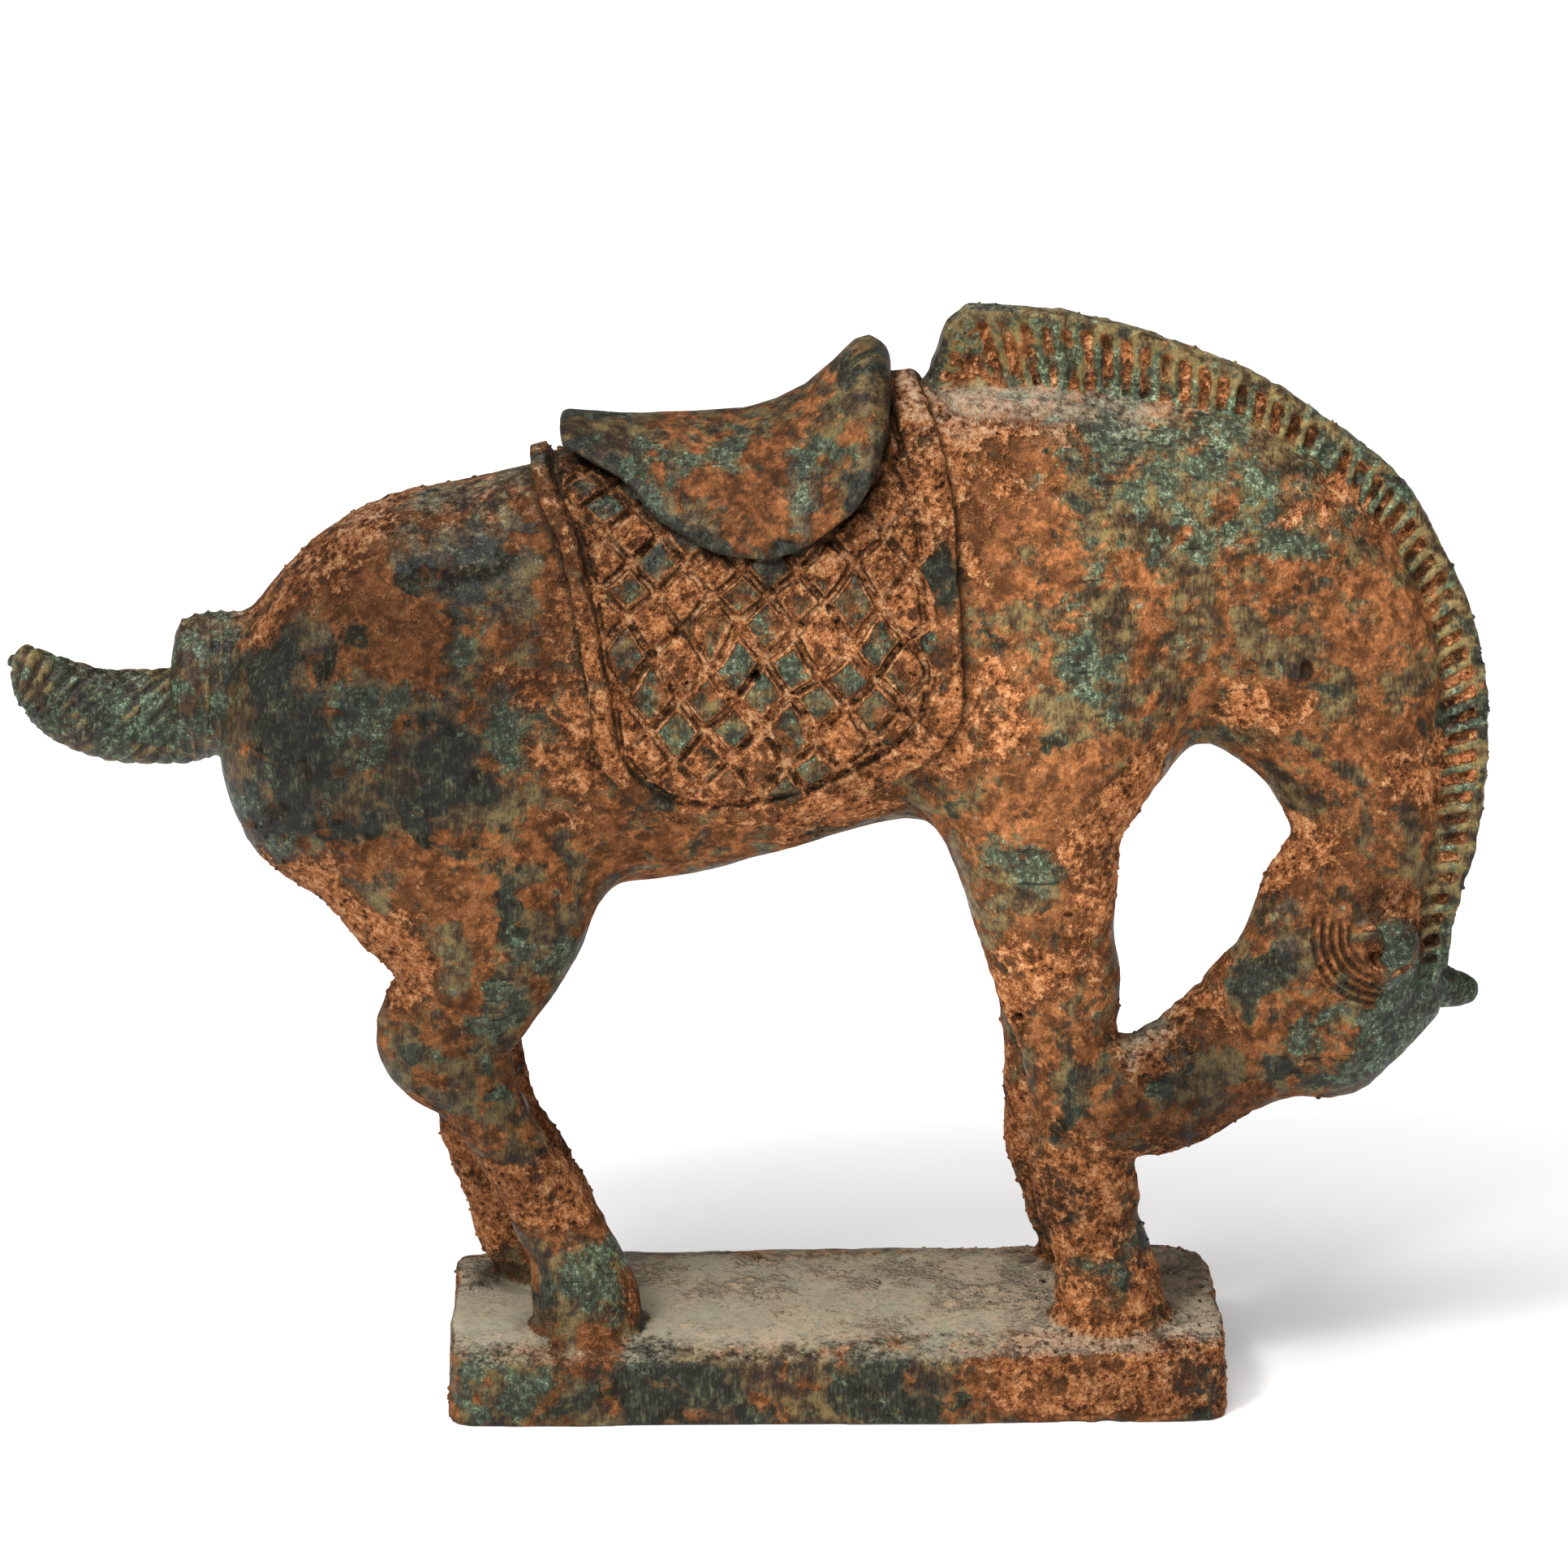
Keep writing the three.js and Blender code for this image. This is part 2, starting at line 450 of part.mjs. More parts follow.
// Lays a closed surface along the zero of a distance function: one vertex in each grid cell
// that the surface crosses, and one four-sided face across each grid edge that it crosses.
function surfaceOf(distanceAt, { min, max }, step) {
  const [nx, ny, nz] = max.map((high, axis) => Math.ceil((high - min[axis]) / step) + 1);
  const index = (i, j, k) => (k * ny + j) * nx + i;
  const place = (i, j, k) => [min[0] + i * step, min[1] + j * step, min[2] + k * step];
  const values = sampleNearSurface(distanceAt, [nx, ny, nz], place, step);
  fillPinches(values, [nx, ny, nz]);

  const corners = [[0, 0, 0], [1, 0, 0], [0, 1, 0], [1, 1, 0], [0, 0, 1], [1, 0, 1], [0, 1, 1], [1, 1, 1]];
  const edges = [
    [0, 1], [2, 3], [4, 5], [6, 7], [0, 2], [1, 3], [4, 6], [5, 7], [0, 4], [1, 5], [2, 6], [3, 7],
  ];
  const cellVertex = new Int32Array(nx * ny * nz).fill(-1);
  const vertices = [];
  const triangles = [];
  for (let k = 0; k < nz - 1; k++) {
    for (let j = 0; j < ny - 1; j++) {
      for (let i = 0; i < nx - 1; i++) {
        const d = corners.map(([a, b, c]) => values[index(i + a, j + b, k + c)]);
        const crossed = edges.filter(([a, b]) => (d[a] > 0) !== (d[b] > 0));
        if (crossed.length === 0) continue;
        const middle = [0, 0, 0];
        for (const [a, b] of crossed) {
          const t = d[a] / (d[a] - d[b]);
          for (let axis = 0; axis < 3; axis++) {
            middle[axis] += lerp(corners[a][axis], corners[b][axis], t) / crossed.length;
          }
        }
        cellVertex[index(i, j, k)] = vertices.length / 3;
        vertices.push(...place(i + middle[0], j + middle[1], k + middle[2]));
      }
    }
  }
  const addFace = (a, b, c, d, turned) => {
    if (turned) triangles.push(a, c, b, a, d, c);
    else triangles.push(a, b, c, a, c, d);
  };
  const outAt = (i, j, k) => values[index(i, j, k)] > 0;
  for (let k = 1; k < nz - 1; k++) {
    for (let j = 1; j < ny - 1; j++) {
      for (let i = 1; i < nx - 1; i++) {
        const out = outAt(i, j, k);
        const cell = (a, b, c) => cellVertex[index(i - a, j - b, k - c)];
        const alongX = [cell(0, 1, 1), cell(0, 0, 1), cell(0, 0, 0), cell(0, 1, 0)];
        const alongY = [cell(1, 0, 1), cell(1, 0, 0), cell(0, 0, 0), cell(0, 0, 1)];
        const alongZ = [cell(1, 1, 0), cell(0, 1, 0), cell(0, 0, 0), cell(1, 0, 0)];
        if (out !== outAt(i + 1, j, k)) addFace(...alongX, out);
        if (out !== outAt(i, j + 1, k)) addFace(...alongY, out);
        if (out !== outAt(i, j, k + 1)) addFace(...alongZ, out);
      }
    }
  }
  return { vertices, triangles };
}

// Samples the distance on the grid. Blocks of cells that the surface can't reach get one value.
function sampleNearSurface(distanceAt, [nx, ny, nz], place, step) {
  const block = 4;
  const blockReach = step * block * 1.05;
  const values = new Float32Array(nx * ny * nz);
  for (let k = 0; k < nz; k += block) {
    for (let j = 0; j < ny; j += block) {
      for (let i = 0; i < nx; i += block) {
        const middle = distanceAt(...place(i + block / 2, j + block / 2, k + block / 2));
        const near = Math.abs(middle) < blockReach;
        for (let c = k; c < Math.min(k + block, nz); c++) {
          for (let b = j; b < Math.min(j + block, ny); b++) {
            for (let a = i; a < Math.min(i + block, nx); a++) {
              values[(c * ny + b) * nx + a] = near ? distanceAt(...place(a, b, c)) : middle;
            }
          }
        }
      }
    }
  }
  return values;
}

// Where metal meets metal only across a diagonal, the surface would pinch to a single edge or
// point. One more corner there is made metal, until no such place is left.
function fillPinches(values, [nx, ny, nz]) {
  const steps = [1, nx, nx * ny];
  const barelyInside = -0.01;
  const fillLowest = corners => {
    const open = corners.filter(corner => values[corner] > 0);
    open.sort((a, b) => values[a] - values[b]);
    values[open[0]] = barelyInside;
  };
  let found = true;
  while (found) {
    found = false;
    for (let at = 0; at < values.length - steps[0] - steps[1] - steps[2]; at++) {
      for (const [p, q] of [[0, 1], [1, 2], [0, 2]]) {
        const square = [at, at + steps[p], at + steps[p] + steps[q], at + steps[q]];
        const [a, b, c, d] = square.map(corner => values[corner] > 0);
        if (a !== c || b !== d || a === b) continue;
        fillLowest(square);
        found = true;
      }
      const cube = [0, 1, 2, 3, 4, 5, 6, 7].map(corner => at
        + (corner & 1 ? steps[0] : 0) + (corner & 2 ? steps[1] : 0) + (corner & 4 ? steps[2] : 0));
      const open = cube.filter(corner => values[corner] > 0);
      const odd = open.length === 6 ? cube.filter(corner => values[corner] <= 0) : open;
      if (odd.length !== 2 || cube.indexOf(odd[0]) + cube.indexOf(odd[1]) !== 7) continue;
      fillLowest(cube);
      found = true;
    }
  }
}

// A queue that always gives back the cheapest entry first.
class CheapestFirst {
  constructor() {
    this.entries = [];
  }

  push(entry) {
    const heap = this.entries;
    let i = heap.push(entry) - 1;
    while (i > 0) {
      const parent = (i - 1) >> 1;
      if (heap[parent].cost <= entry.cost) break;
      heap[i] = heap[parent];
      i = parent;
    }
    heap[i] = entry;
  }

  pop() {
    const heap = this.entries;
    const first = heap[0];
    const last = heap.pop();
    if (heap.length === 0) return first;
    let i = 0;
    for (;;) {
      let child = 2 * i + 1;
      if (child >= heap.length) break;
      if (child + 1 < heap.length && heap[child + 1].cost < heap[child].cost) child++;
      if (heap[child].cost >= last.cost) break;
      heap[i] = heap[child];
      i = child;
    }
    heap[i] = last;
    return first;
  }
}

// Thins a closed surface by joining the two ends of an edge, cheapest first. The cost is the
// squared distance of the new point from the planes of the faces that met there, so flat
// ground gets few triangles and rims, locks and grooves keep theirs.
function thin({ vertices, triangles }, limit) {
  const points = [];
  for (let i = 0; i < vertices.length; i += 3) points.push(new THREE.Vector3(...vertices.slice(i, i + 3)));
  const faces = [];
  for (let i = 0; i < triangles.length; i += 3) faces.push(triangles.slice(i, i + 3));
  const facesAt = points.map(() => new Set());
  const planes = points.map(() => new Float64Array(10));
  const stamps = new Uint32Array(points.length);
  const u = new THREE.Vector3();
  const v = new THREE.Vector3();
  const crossOf = (a, b, c) => new THREE.Vector3().crossVectors(u.subVectors(b, a), v.subVectors(c, a));

  faces.forEach((face, id) => {
    const [a, b, c] = face.map(corner => points[corner]);
    const normal = crossOf(a, b, c);
    const area = normal.length() / 2;
    normal.normalize();
    const { x, y, z } = normal;
    const w = -normal.dot(a);
    const terms = [x * x, x * y, x * z, x * w, y * y, y * z, y * w, z * z, z * w, w * w];
    for (const corner of face) {
      facesAt[corner].add(id);
      terms.forEach((term, k) => { planes[corner][k] += term * area; });
    }
  });

  const costAt = (q, p) => q[0] * p.x * p.x + 2 * q[1] * p.x * p.y + 2 * q[2] * p.x * p.z + 2 * q[3] * p.x
    + q[4] * p.y * p.y + 2 * q[5] * p.y * p.z + 2 * q[6] * p.y + q[7] * p.z * p.z + 2 * q[8] * p.z + q[9];

  // The point where the cost is least, or the middle of the edge where that isn't clear
  const bestPoint = (q, a, b) => {
    const middle = a.clone().add(b).multiplyScalar(0.5);
    const m = new THREE.Matrix3().set(q[0], q[1], q[2], q[1], q[4], q[5], q[2], q[5], q[7]);
    const size = q[0] + q[4] + q[7];
    if (Math.abs(m.determinant()) < FLAT_SHARE * size ** 3) return middle;
    const p = new THREE.Vector3(-q[3], -q[6], -q[8]).applyMatrix3(m.invert());
    return p.distanceTo(middle) < a.distanceTo(b) * STRAY_LIMIT ? p : middle;
  };

  const queue = new CheapestFirst();
  const consider = (a, b) => {
    const q = planes[a].map((term, k) => term + planes[b][k]);
    const point = bestPoint(q, points[a], points[b]);
    const cost = costAt(q, point) + SLIVER_COST * points[a].distanceToSquared(points[b]);
    queue.push({ cost, a, b, point, stamp: stamps[a] + stamps[b] });
  };
  const neighboursOf = a => {
    const found = new Set();
    for (const id of facesAt[a]) for (const corner of faces[id]) if (corner !== a) found.add(corner);
    return found;
  };
  for (const [a, b, c] of faces) {
    if (a < b) consider(a, b);
    if (b < c) consider(b, c);
    if (c < a) consider(c, a);
  }

  // Whether moving a corner to the new point keeps a face's side and doesn't make a sliver
  const staysSound = (face, corner, point) => {
    const before = face.map(i => points[i]);
    const after = face.map(i => (i === corner ? point : points[i]));
    const oldNormal = crossOf(...before);
    const newNormal = crossOf(...after);
    const longest = Math.max(...after.map((p, i) => p.distanceToSquared(after[(i + 1) % 3])));
    return newNormal.dot(oldNormal) > LEAST_AGREEMENT * newNormal.length() * oldNormal.length()
      && newNormal.length() > SLIVER_HEIGHT * longest;
  };

  let count = faces.length;
  while (count > limit && queue.entries.length > 0) {
    const { a, b, point, stamp } = queue.pop();
    if (stamp !== stamps[a] + stamps[b] || facesAt[a].size === 0 || facesAt[b].size === 0) continue;
    const shared = [...facesAt[a]].filter(id => facesAt[b].has(id));
    const around = neighboursOf(a);
    const common = [...neighboursOf(b)].filter(corner => around.has(corner));
    if (shared.length !== 2 || common.length !== 2) continue;
    const moved = [[a, b], [b, a]].every(([corner, other]) => [...facesAt[corner]]
      .filter(id => !facesAt[other].has(id))
      .every(id => staysSound(faces[id], corner, point)));
    if (!moved) continue;
    for (const id of shared) {
      for (const corner of faces[id]) facesAt[corner].delete(id);
      faces[id] = null;
    }
    count -= 2;
    for (const id of facesAt[b]) {
      faces[id] = faces[id].map(corner => (corner === b ? a : corner));
      facesAt[a].add(id);
    }
    facesAt[b].clear();
    points[a].copy(point);
    planes[b].forEach((term, k) => { planes[a][k] += term; });
    stamps[a] += stamps[b] + 1;
    for (const corner of neighboursOf(a)) consider(a, corner);
  }
  return { points, faces: faces.filter(face => face !== null) };
}

// Numbers the corners that are still in use, as the plain arrays that a solid is made from.
function packed({ points, faces }) {
  const numberOf = new Map();
  const vertProperties = [];
  const triVerts = [];
  for (const corner of faces.flat()) {
    if (!numberOf.has(corner)) {
      numberOf.set(corner, numberOf.size);
      vertProperties.push(...points[corner].toArray());
    }
    triVerts.push(numberOf.get(corner));
  }
  return {
    numProp: 3,
    vertProperties: new Float32Array(vertProperties),
    triVerts: new Uint32Array(triVerts),
  };
}

const wasm = await Module();
wasm.setup();

// The casting runs on below the underside and is cut off flat there.
function cutFlatBelow(casting) {
  const depth = 40;
  const box = new THREE.BoxGeometry(2 * PLINTH_LENGTH, 2 * PLINTH_WIDTH, depth);
  box.translate(0, 0, -depth / 2);
  box.deleteAttribute('normal');
  box.deleteAttribute('uv');
  const block = mergeVertices(box);
  const floor = new wasm.Manifold(new wasm.Mesh({
    numProp: 3,
    vertProperties: block.attributes.position.array,
    triVerts: new Uint32Array(block.index.array),
  }));
  return new wasm.Manifold(new wasm.Mesh(casting)).subtract(floor).getMesh();
}

const casting = cutFlatBelow(packed(thin(surfaceOf(castingDistance, BOUNDS, GRID_STEP), TRIANGLE_LIMIT)));
const geometry = new THREE.BufferGeometry();
geometry.setAttribute('position', new THREE.BufferAttribute(casting.vertProperties, 3));
geometry.setIndex(new THREE.BufferAttribute(casting.triVerts, 1));
geometry.computeVertexNormals();

const bronze = new THREE.MeshStandardMaterial({ color: 0x8a4b2a, roughness: 0.72, metalness: 0.35 });
const horse = new THREE.Mesh(geometry, bronze);
horse.name = 'horse_and_plinth';

const group = new THREE.Group();
group.add(horse);

export default group;
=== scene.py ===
# %% [markdown]
# # A grazing horse in patinated bronze, cast with its plinth
# The real object is one hollow casting: body, saddle, saddle cloth, mane, tail and plinth all came out of
# one mould, and a thick patina has grown over it. This notebook dresses the plain solid with that
# surface. It loads the solid first, because every piece made here has to lie where the solid lies.

import math

import bpy
import numpy as np
from mathutils import Matrix, Vector


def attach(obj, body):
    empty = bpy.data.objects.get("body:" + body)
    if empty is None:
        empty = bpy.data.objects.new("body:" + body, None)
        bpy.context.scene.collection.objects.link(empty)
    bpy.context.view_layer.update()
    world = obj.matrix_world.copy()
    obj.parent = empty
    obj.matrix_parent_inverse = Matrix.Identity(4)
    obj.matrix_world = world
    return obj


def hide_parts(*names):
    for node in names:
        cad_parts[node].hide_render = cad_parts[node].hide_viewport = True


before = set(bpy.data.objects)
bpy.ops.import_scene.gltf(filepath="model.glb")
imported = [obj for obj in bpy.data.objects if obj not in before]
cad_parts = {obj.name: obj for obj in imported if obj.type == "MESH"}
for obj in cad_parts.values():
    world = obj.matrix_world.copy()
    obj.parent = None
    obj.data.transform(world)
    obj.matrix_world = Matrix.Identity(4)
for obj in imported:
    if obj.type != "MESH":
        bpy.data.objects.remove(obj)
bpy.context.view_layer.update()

# %% [markdown]
# ## The camera
# The photograph was taken from the horse's right, a little above it, with a long lens. A long lens is why
# the plinth's far edge looks almost as long as its near edge. The camera is placed by its target, its
# distance and two angles, so that each of them can be changed by itself.

# %% Camera
VIEW_ELEVATION = math.radians(16.8)
VIEW_AZIMUTH = math.radians(-1.0)
VIEW_DISTANCE = 2.194
VIEW_TARGET = Vector((-0.015, 0.0, 0.177))
SENSOR_WIDTH = 36.0
LENS = 177.0
FARTHEST_SEEN = 20.0

forward = Vector((
    -math.sin(VIEW_AZIMUTH) * math.cos(VIEW_ELEVATION),
    math.cos(VIEW_AZIMUTH) * math.cos(VIEW_ELEVATION),
    -math.sin(VIEW_ELEVATION),
))
rightward = Vector((math.cos(VIEW_AZIMUTH), math.sin(VIEW_AZIMUTH), 0.0))
upward = rightward.cross(forward)

camera_data = bpy.data.cameras.new("camera")
camera_data.sensor_width = SENSOR_WIDTH
camera_data.lens = LENS
camera_data.clip_end = FARTHEST_SEEN
camera = bpy.data.objects.new("camera", camera_data)
bpy.context.collection.objects.link(camera)
camera.matrix_world = Matrix.Translation(VIEW_TARGET - forward * VIEW_DISTANCE) @ Matrix((
    (rightward.x, upward.x, -forward.x, 0),
    (rightward.y, upward.y, -forward.y, 0),
    (rightward.z, upward.z, -forward.z, 0),
    (0, 0, 0, 1),
))
bpy.context.scene.camera = camera
print("camera at", [round(v, 3) for v in camera.matrix_world.translation])

# %% [markdown]
# ## Small helpers for shapes
# The horse is one smooth, continuous skin with crisp things cut into it, so it is described by a distance
# function, not by hand placed vertices: for any point in space the function says how far that point is
# outside the metal (positive) or inside it (negative). Two shapes are joined by taking the smaller
# distance, and the corner between them is rounded by blending. All these helpers work on whole arrays of
# points at once, in millimetres, because a million points one by one would take minutes.

# %% Blending, steps and grooves
FAR = 1000.0


def blend_union(a, b, width):
    """The nearer of two shapes, with the corner between them rounded over a width."""
    overlap = np.maximum(width - np.abs(a - b), 0) / width
    return np.minimum(a, b) - overlap * overlap * width / 4


def blend_intersection(a, b, width):
    """Only what lies inside both shapes, with a rounded corner."""
    return -blend_union(-a, -b, width)


def step_up(value, start, end):
    """0 before start, 1 after end, and a smooth climb between."""
    t = np.clip((value - start) / (end - start), 0, 1)
    return t * t * (3 - 2 * t)


def mix(a, b, t):
    return a + (b - a) * t


def off_line(position, pitch):
    """How far a position is from the nearest of many parallel lines."""
    return np.abs(position - pitch * np.round(position / pitch))


# %% Smooth lines through stations
def smooth_line(stations, per_span, open_ends):
    """Points along a curve through the stations. Open ends run on straight, others stop dead."""
    p = np.array(stations, float)
    before, after = (2 * p[0] - p[1], 2 * p[-1] - p[-2]) if open_ends else (p[0], p[-1])
    p = np.vstack([before, p, after])
    spans = len(p) - 3
    i = np.repeat(np.arange(spans), per_span)
    t = np.tile(np.arange(per_span) / per_span, spans)[:, None]
    a, b, c, d = p[i], p[i + 1], p[i + 2], p[i + 3]
    cubic = 2 * b + (c - a) * t + (2 * a - 5 * b + 4 * c - d) * t ** 2 + (3 * b - a - 3 * c + d) * t ** 3
    return np.vstack([cubic / 2, p[-2]])


# %% [markdown]
# A limb of the armature is a bar with an oval section that gets thicker and thinner on its way. The exact
# distance from an oval has no short formula, so it is estimated: how many times too far out the point
# lies, divided by how fast that number grows there. Near the metal, where it counts, that is very close.

# %% Tapering bars
def box_gap(points, low, high):
    """Distance of points from a box, nought inside it."""
    return np.linalg.norm(np.maximum(np.maximum(low - points, points - high), 0), axis=1)


def bar_distance(bar, points, reach):
    """Distance from a tapering oval bar. Points further off than reach get their distance from its box."""
    margin = bar[:, [3, 4, 3]]
    distance = box_gap(points, (bar[:, :3] - margin).min(0), (bar[:, :3] + margin).max(0))
    near = distance <= reach
    if not near.any():
        return distance
    q = points[near]
    q_low, q_high = q.min(0), q.max(0)
    furthest = np.max(reach[near]) if np.ndim(reach) else reach
    nearest = np.full(len(q), FAR)
    for start, end in zip(bar[:-1], bar[1:]):
        size = np.maximum(margin_of(start), margin_of(end))
        low = np.minimum(start[:3], end[:3]) - size
        high = np.maximum(start[:3], end[:3]) + size
        gap = np.linalg.norm(np.maximum(np.maximum(low - q_high, q_low - high), 0))
        if gap > furthest:
            continue
        squash = (start[3] + end[3]) / (start[4] + end[4])
        ax, ay, az = end[:3] - start[:3]
        px, py, pz = (q - start[:3]).T
        along = (px * ax + py * ay * squash ** 2 + pz * az) / (ax * ax + (ay * squash) ** 2 + az * az)
        t = np.clip(along, 0, 1)
        height = start[3] + (end[3] - start[3]) * t
        width = start[4] + (end[4] - start[4]) * t
        across = (px - ax * t) ** 2 + (pz - az * t) ** 2
        sideways = (py - ay * t) ** 2
        scaled = np.sqrt(across / height ** 2 + sideways / width ** 2)
        slope = np.sqrt(across / height ** 4 + sideways / width ** 4) + 1e-9
        nearest = np.minimum(nearest, scaled * (scaled - 1) / slope)
    distance[near] = nearest
    return distance


def margin_of(station):
    return station[[3, 4, 3]]


def join_bar(distance, bar, blend, points):
    """The bar blended on to what is there already, and read only where the two can meet."""
    return blend_union(distance, bar_distance(bar, points, distance + blend), blend)


# %% Outlines in side view
def outline_distance(outline, x, z):
    """Signed distance from a closed outline in side view, and how far along it the nearest point is."""
    nearest = np.full(len(x), FAR ** 2)
    along = np.zeros(len(x))
    inside = np.zeros(len(x), bool)
    travelled = 0.0
    for (x0, z0), (x1, z1) in zip(outline, np.roll(outline, -1, axis=0)):
        ex, ez = x1 - x0, z1 - z0
        length = math.hypot(ex, ez)
        t = np.clip(((x - x0) * ex + (z - z0) * ez) / length ** 2, 0, 1)
        gap = (x - x0 - ex * t) ** 2 + (z - z0 - ez * t) ** 2
        closer = gap < nearest
        nearest = np.where(closer, gap, nearest)
        along = np.where(closer, travelled + length * t, along)
        travelled += length
        if z0 != z1:
            inside ^= ((z0 > z) != (z1 > z)) & (x < x0 + (z - z0) * ex / ez)
    return np.where(inside, -1, 1) * np.sqrt(nearest), along


# %% [markdown]
# ## Unevenness
# A sand or wax casting is never smooth: it has broad hand-worked dents and, under a patina, lumps and
# pits. Both come from the same tool, a lattice of random numbers that is read with smooth steps in
# between. The seed is fixed, so the same lumps come back each time.

# %% Random lumps
LATTICE_SEED = 11
LATTICE_SIZE = 32
LATTICE = np.random.default_rng(LATTICE_SEED).random((LATTICE_SIZE,) * 3).astype(np.float32)


def lumps(points, size, shift=0.0):
    """Smooth random heights between 0 and 1, with features about size millimetres wide."""
    q = points / size + shift
    cell = np.floor(q).astype(int)
    f = (q - cell).astype(np.float32)
    f = f * f * (3 - 2 * f)
    total = np.zeros(len(points), np.float32)
    for a in (0, 1):
        for b in (0, 1):
            for c in (0, 1):
                weight = (f[:, 0] if a else 1 - f[:, 0]) * (f[:, 1] if b else 1 - f[:, 1])
                weight *= f[:, 2] if c else 1 - f[:, 2]
                corner = (cell + (a, b, c)) % LATTICE_SIZE
                total += weight * LATTICE[corner[:, 0], corner[:, 1], corner[:, 2]]
    return total


# %% [markdown]
# ## The plinth
# The plinth was cut by hand in the wax: its top bulges in the middle, its edges waver and its back corners
# are rounder than the front ones. A box with rounded corners gives the plan, and a few waves and a
# crowned top give the handwork.

# %% Plinth
PLINTH_LENGTH, PLINTH_WIDTH, PLINTH_HEIGHT = 221, 92, 22.5
PLINTH_TILT = 0.009
PLINTH_CORNER, PLINTH_REAR_CORNER, PLINTH_ROUND_CORNER = 8, 15, 27
PLINTH_EDGE_ROUND = 2.5
PLINTH_DRAFT = 0.05
CROWN_DROP = 3.5
CROWN_START = 30
EDGE_WAVER = 0.35
LONG_WAVE, CROSS_WAVE, SLOW_WAVE = 19, 11, 37
BELOW_FLOOR = 5


def plinth_distance(points):
    x, y, z = points.T
    top = PLINTH_HEIGHT + PLINTH_TILT * x
    waver = EDGE_WAVER * (np.sin(x / LONG_WAVE) + np.sin(y / CROSS_WAVE + x / SLOW_WAVE))
    flare = PLINTH_DRAFT * (top - z) + waver
    behind = step_up(y, 5, 25) * step_up(np.abs(x), 40, 80)
    corner = mix(PLINTH_CORNER, np.where(x > 0, PLINTH_ROUND_CORNER, PLINTH_REAR_CORNER), behind)
    qx = np.abs(x) - PLINTH_LENGTH / 2 + corner - flare
    qy = np.abs(y) - PLINTH_WIDTH / 2 + corner - flare
    side = np.hypot(np.maximum(qx, 0), np.maximum(qy, 0)) + np.minimum(np.maximum(qx, qy), 0) - corner
    overhang = np.maximum(0, (np.abs(y) - CROWN_START) / (PLINTH_WIDTH / 2 - CROWN_START))
    above = blend_intersection(side, z - top + CROWN_DROP * overhang ** 2, PLINTH_EDGE_ROUND)
    return np.maximum(above, -z - BELOW_FLOOR)


# %% [markdown]
# ## The horse's body
# Trunk, neck, legs, head and tail are tapering oval bars that follow the bones, each given by a few
# stations: x, y, z, half height and half width. That is how a modeller builds a figure too, wax rolls on
# an armature first and then smoothing. The two legs of a pair are joined with a tight blend and the trunk
# with a wide one, because the groove between the hind legs stays sharp on the real horse.

# %% Stations of the trunk, head and tail
SPINE = [
    [-135, 0, 206, 38.5, 34], [-116, 0, 216, 45.5, 41], [-90, 0, 212.2, 55.7, 43], [-62, 0, 212, 62, 44],
    [-35, 0, 217, 61, 45], [-7, 0, 224.5, 60.3, 45], [16, 0, 230.5, 62.3, 43], [38, 0, 232, 63, 39],
    [68, 0, 240, 52.5, 33], [103, 0, 240, 45.5, 27], [128, 0, 222, 39.2, 23], [143, -4, 197, 28.5, 19],
    [150, -8, 171, 21.5, 16.5], [149.5, -12, 156, 20.5, 15], [147, -14, 142, 18, 14],
]
BREAST = [[48, 0, 208, 38, 34], [64, 0, 202, 36.5, 32]]
HEAD = [
    [152, -15, 130, 15, 13], [140, -16, 118, 21, 15], [122, -18, 110, 21, 14.5],
    [104, -21, 98.6, 19, 13], [93, -24, 93, 18.7, 12.5], [84.3, -27, 91, 16.4, 11.5],
]
JOWL = [[137, -14, 147, 17.3, 12], [130, -17, 131, 16.5, 15], [121, -19, 119.5, 14.7, 14]]
FOREHEAD = [
    [163.5, -8, 115, 10, 9], [154, -13, 106.5, 9.8, 11], [143, -16, 99.5, 11, 12],
    [133, -17, 100.5, 10.7, 12],
]
TAIL_WRAP = [
    [-158, 0, 208.3, 19, 17], [-166, 0, 208, 19.9, 17.2], [-175, 0, 207.5, 20.4, 17.2],
    [-184, 0, 206, 19.4, 16],
]
TAIL_HORN = [
    [-186, 0, 198, 13, 12], [-198, 0, 197.8, 13.2, 11.5], [-208, 0, 198.8, 12.3, 10.5],
    [-217, 0, 202.5, 11.2, 8.5], [-224, 0, 207.5, 8.8, 6.5], [-228.5, 0, 213.5, 5.2, 4.5],
]
RIGHT_EAR = [
    [155, -28, 129, 4.2, 5], [156.8, -33, 134.5, 5.8, 4.2], [157, -37, 140.5, 6.4, 4.0],
    [155.8, -38, 145.5, 5.2, 3.2],
]
RIGHT_EAR_CUP = [[151, -22, 132, 7.5, 6], [151, -28, 138, 6.4, 4.5]]
RIGHT_EAR_HOLLOW = [[152, -32, 134, 2.6, 2.8], [150.5, -34.5, 137.5, 4, 3.8], [149, -39, 141, 4.6, 5]]
LEFT_EAR = [
    [158, -4, 121, 11, 9], [168, 1, 116.5, 8.2, 7], [176.5, 4, 113.8, 5.8, 5], [181, 5, 113, 4.2, 3.8],
]

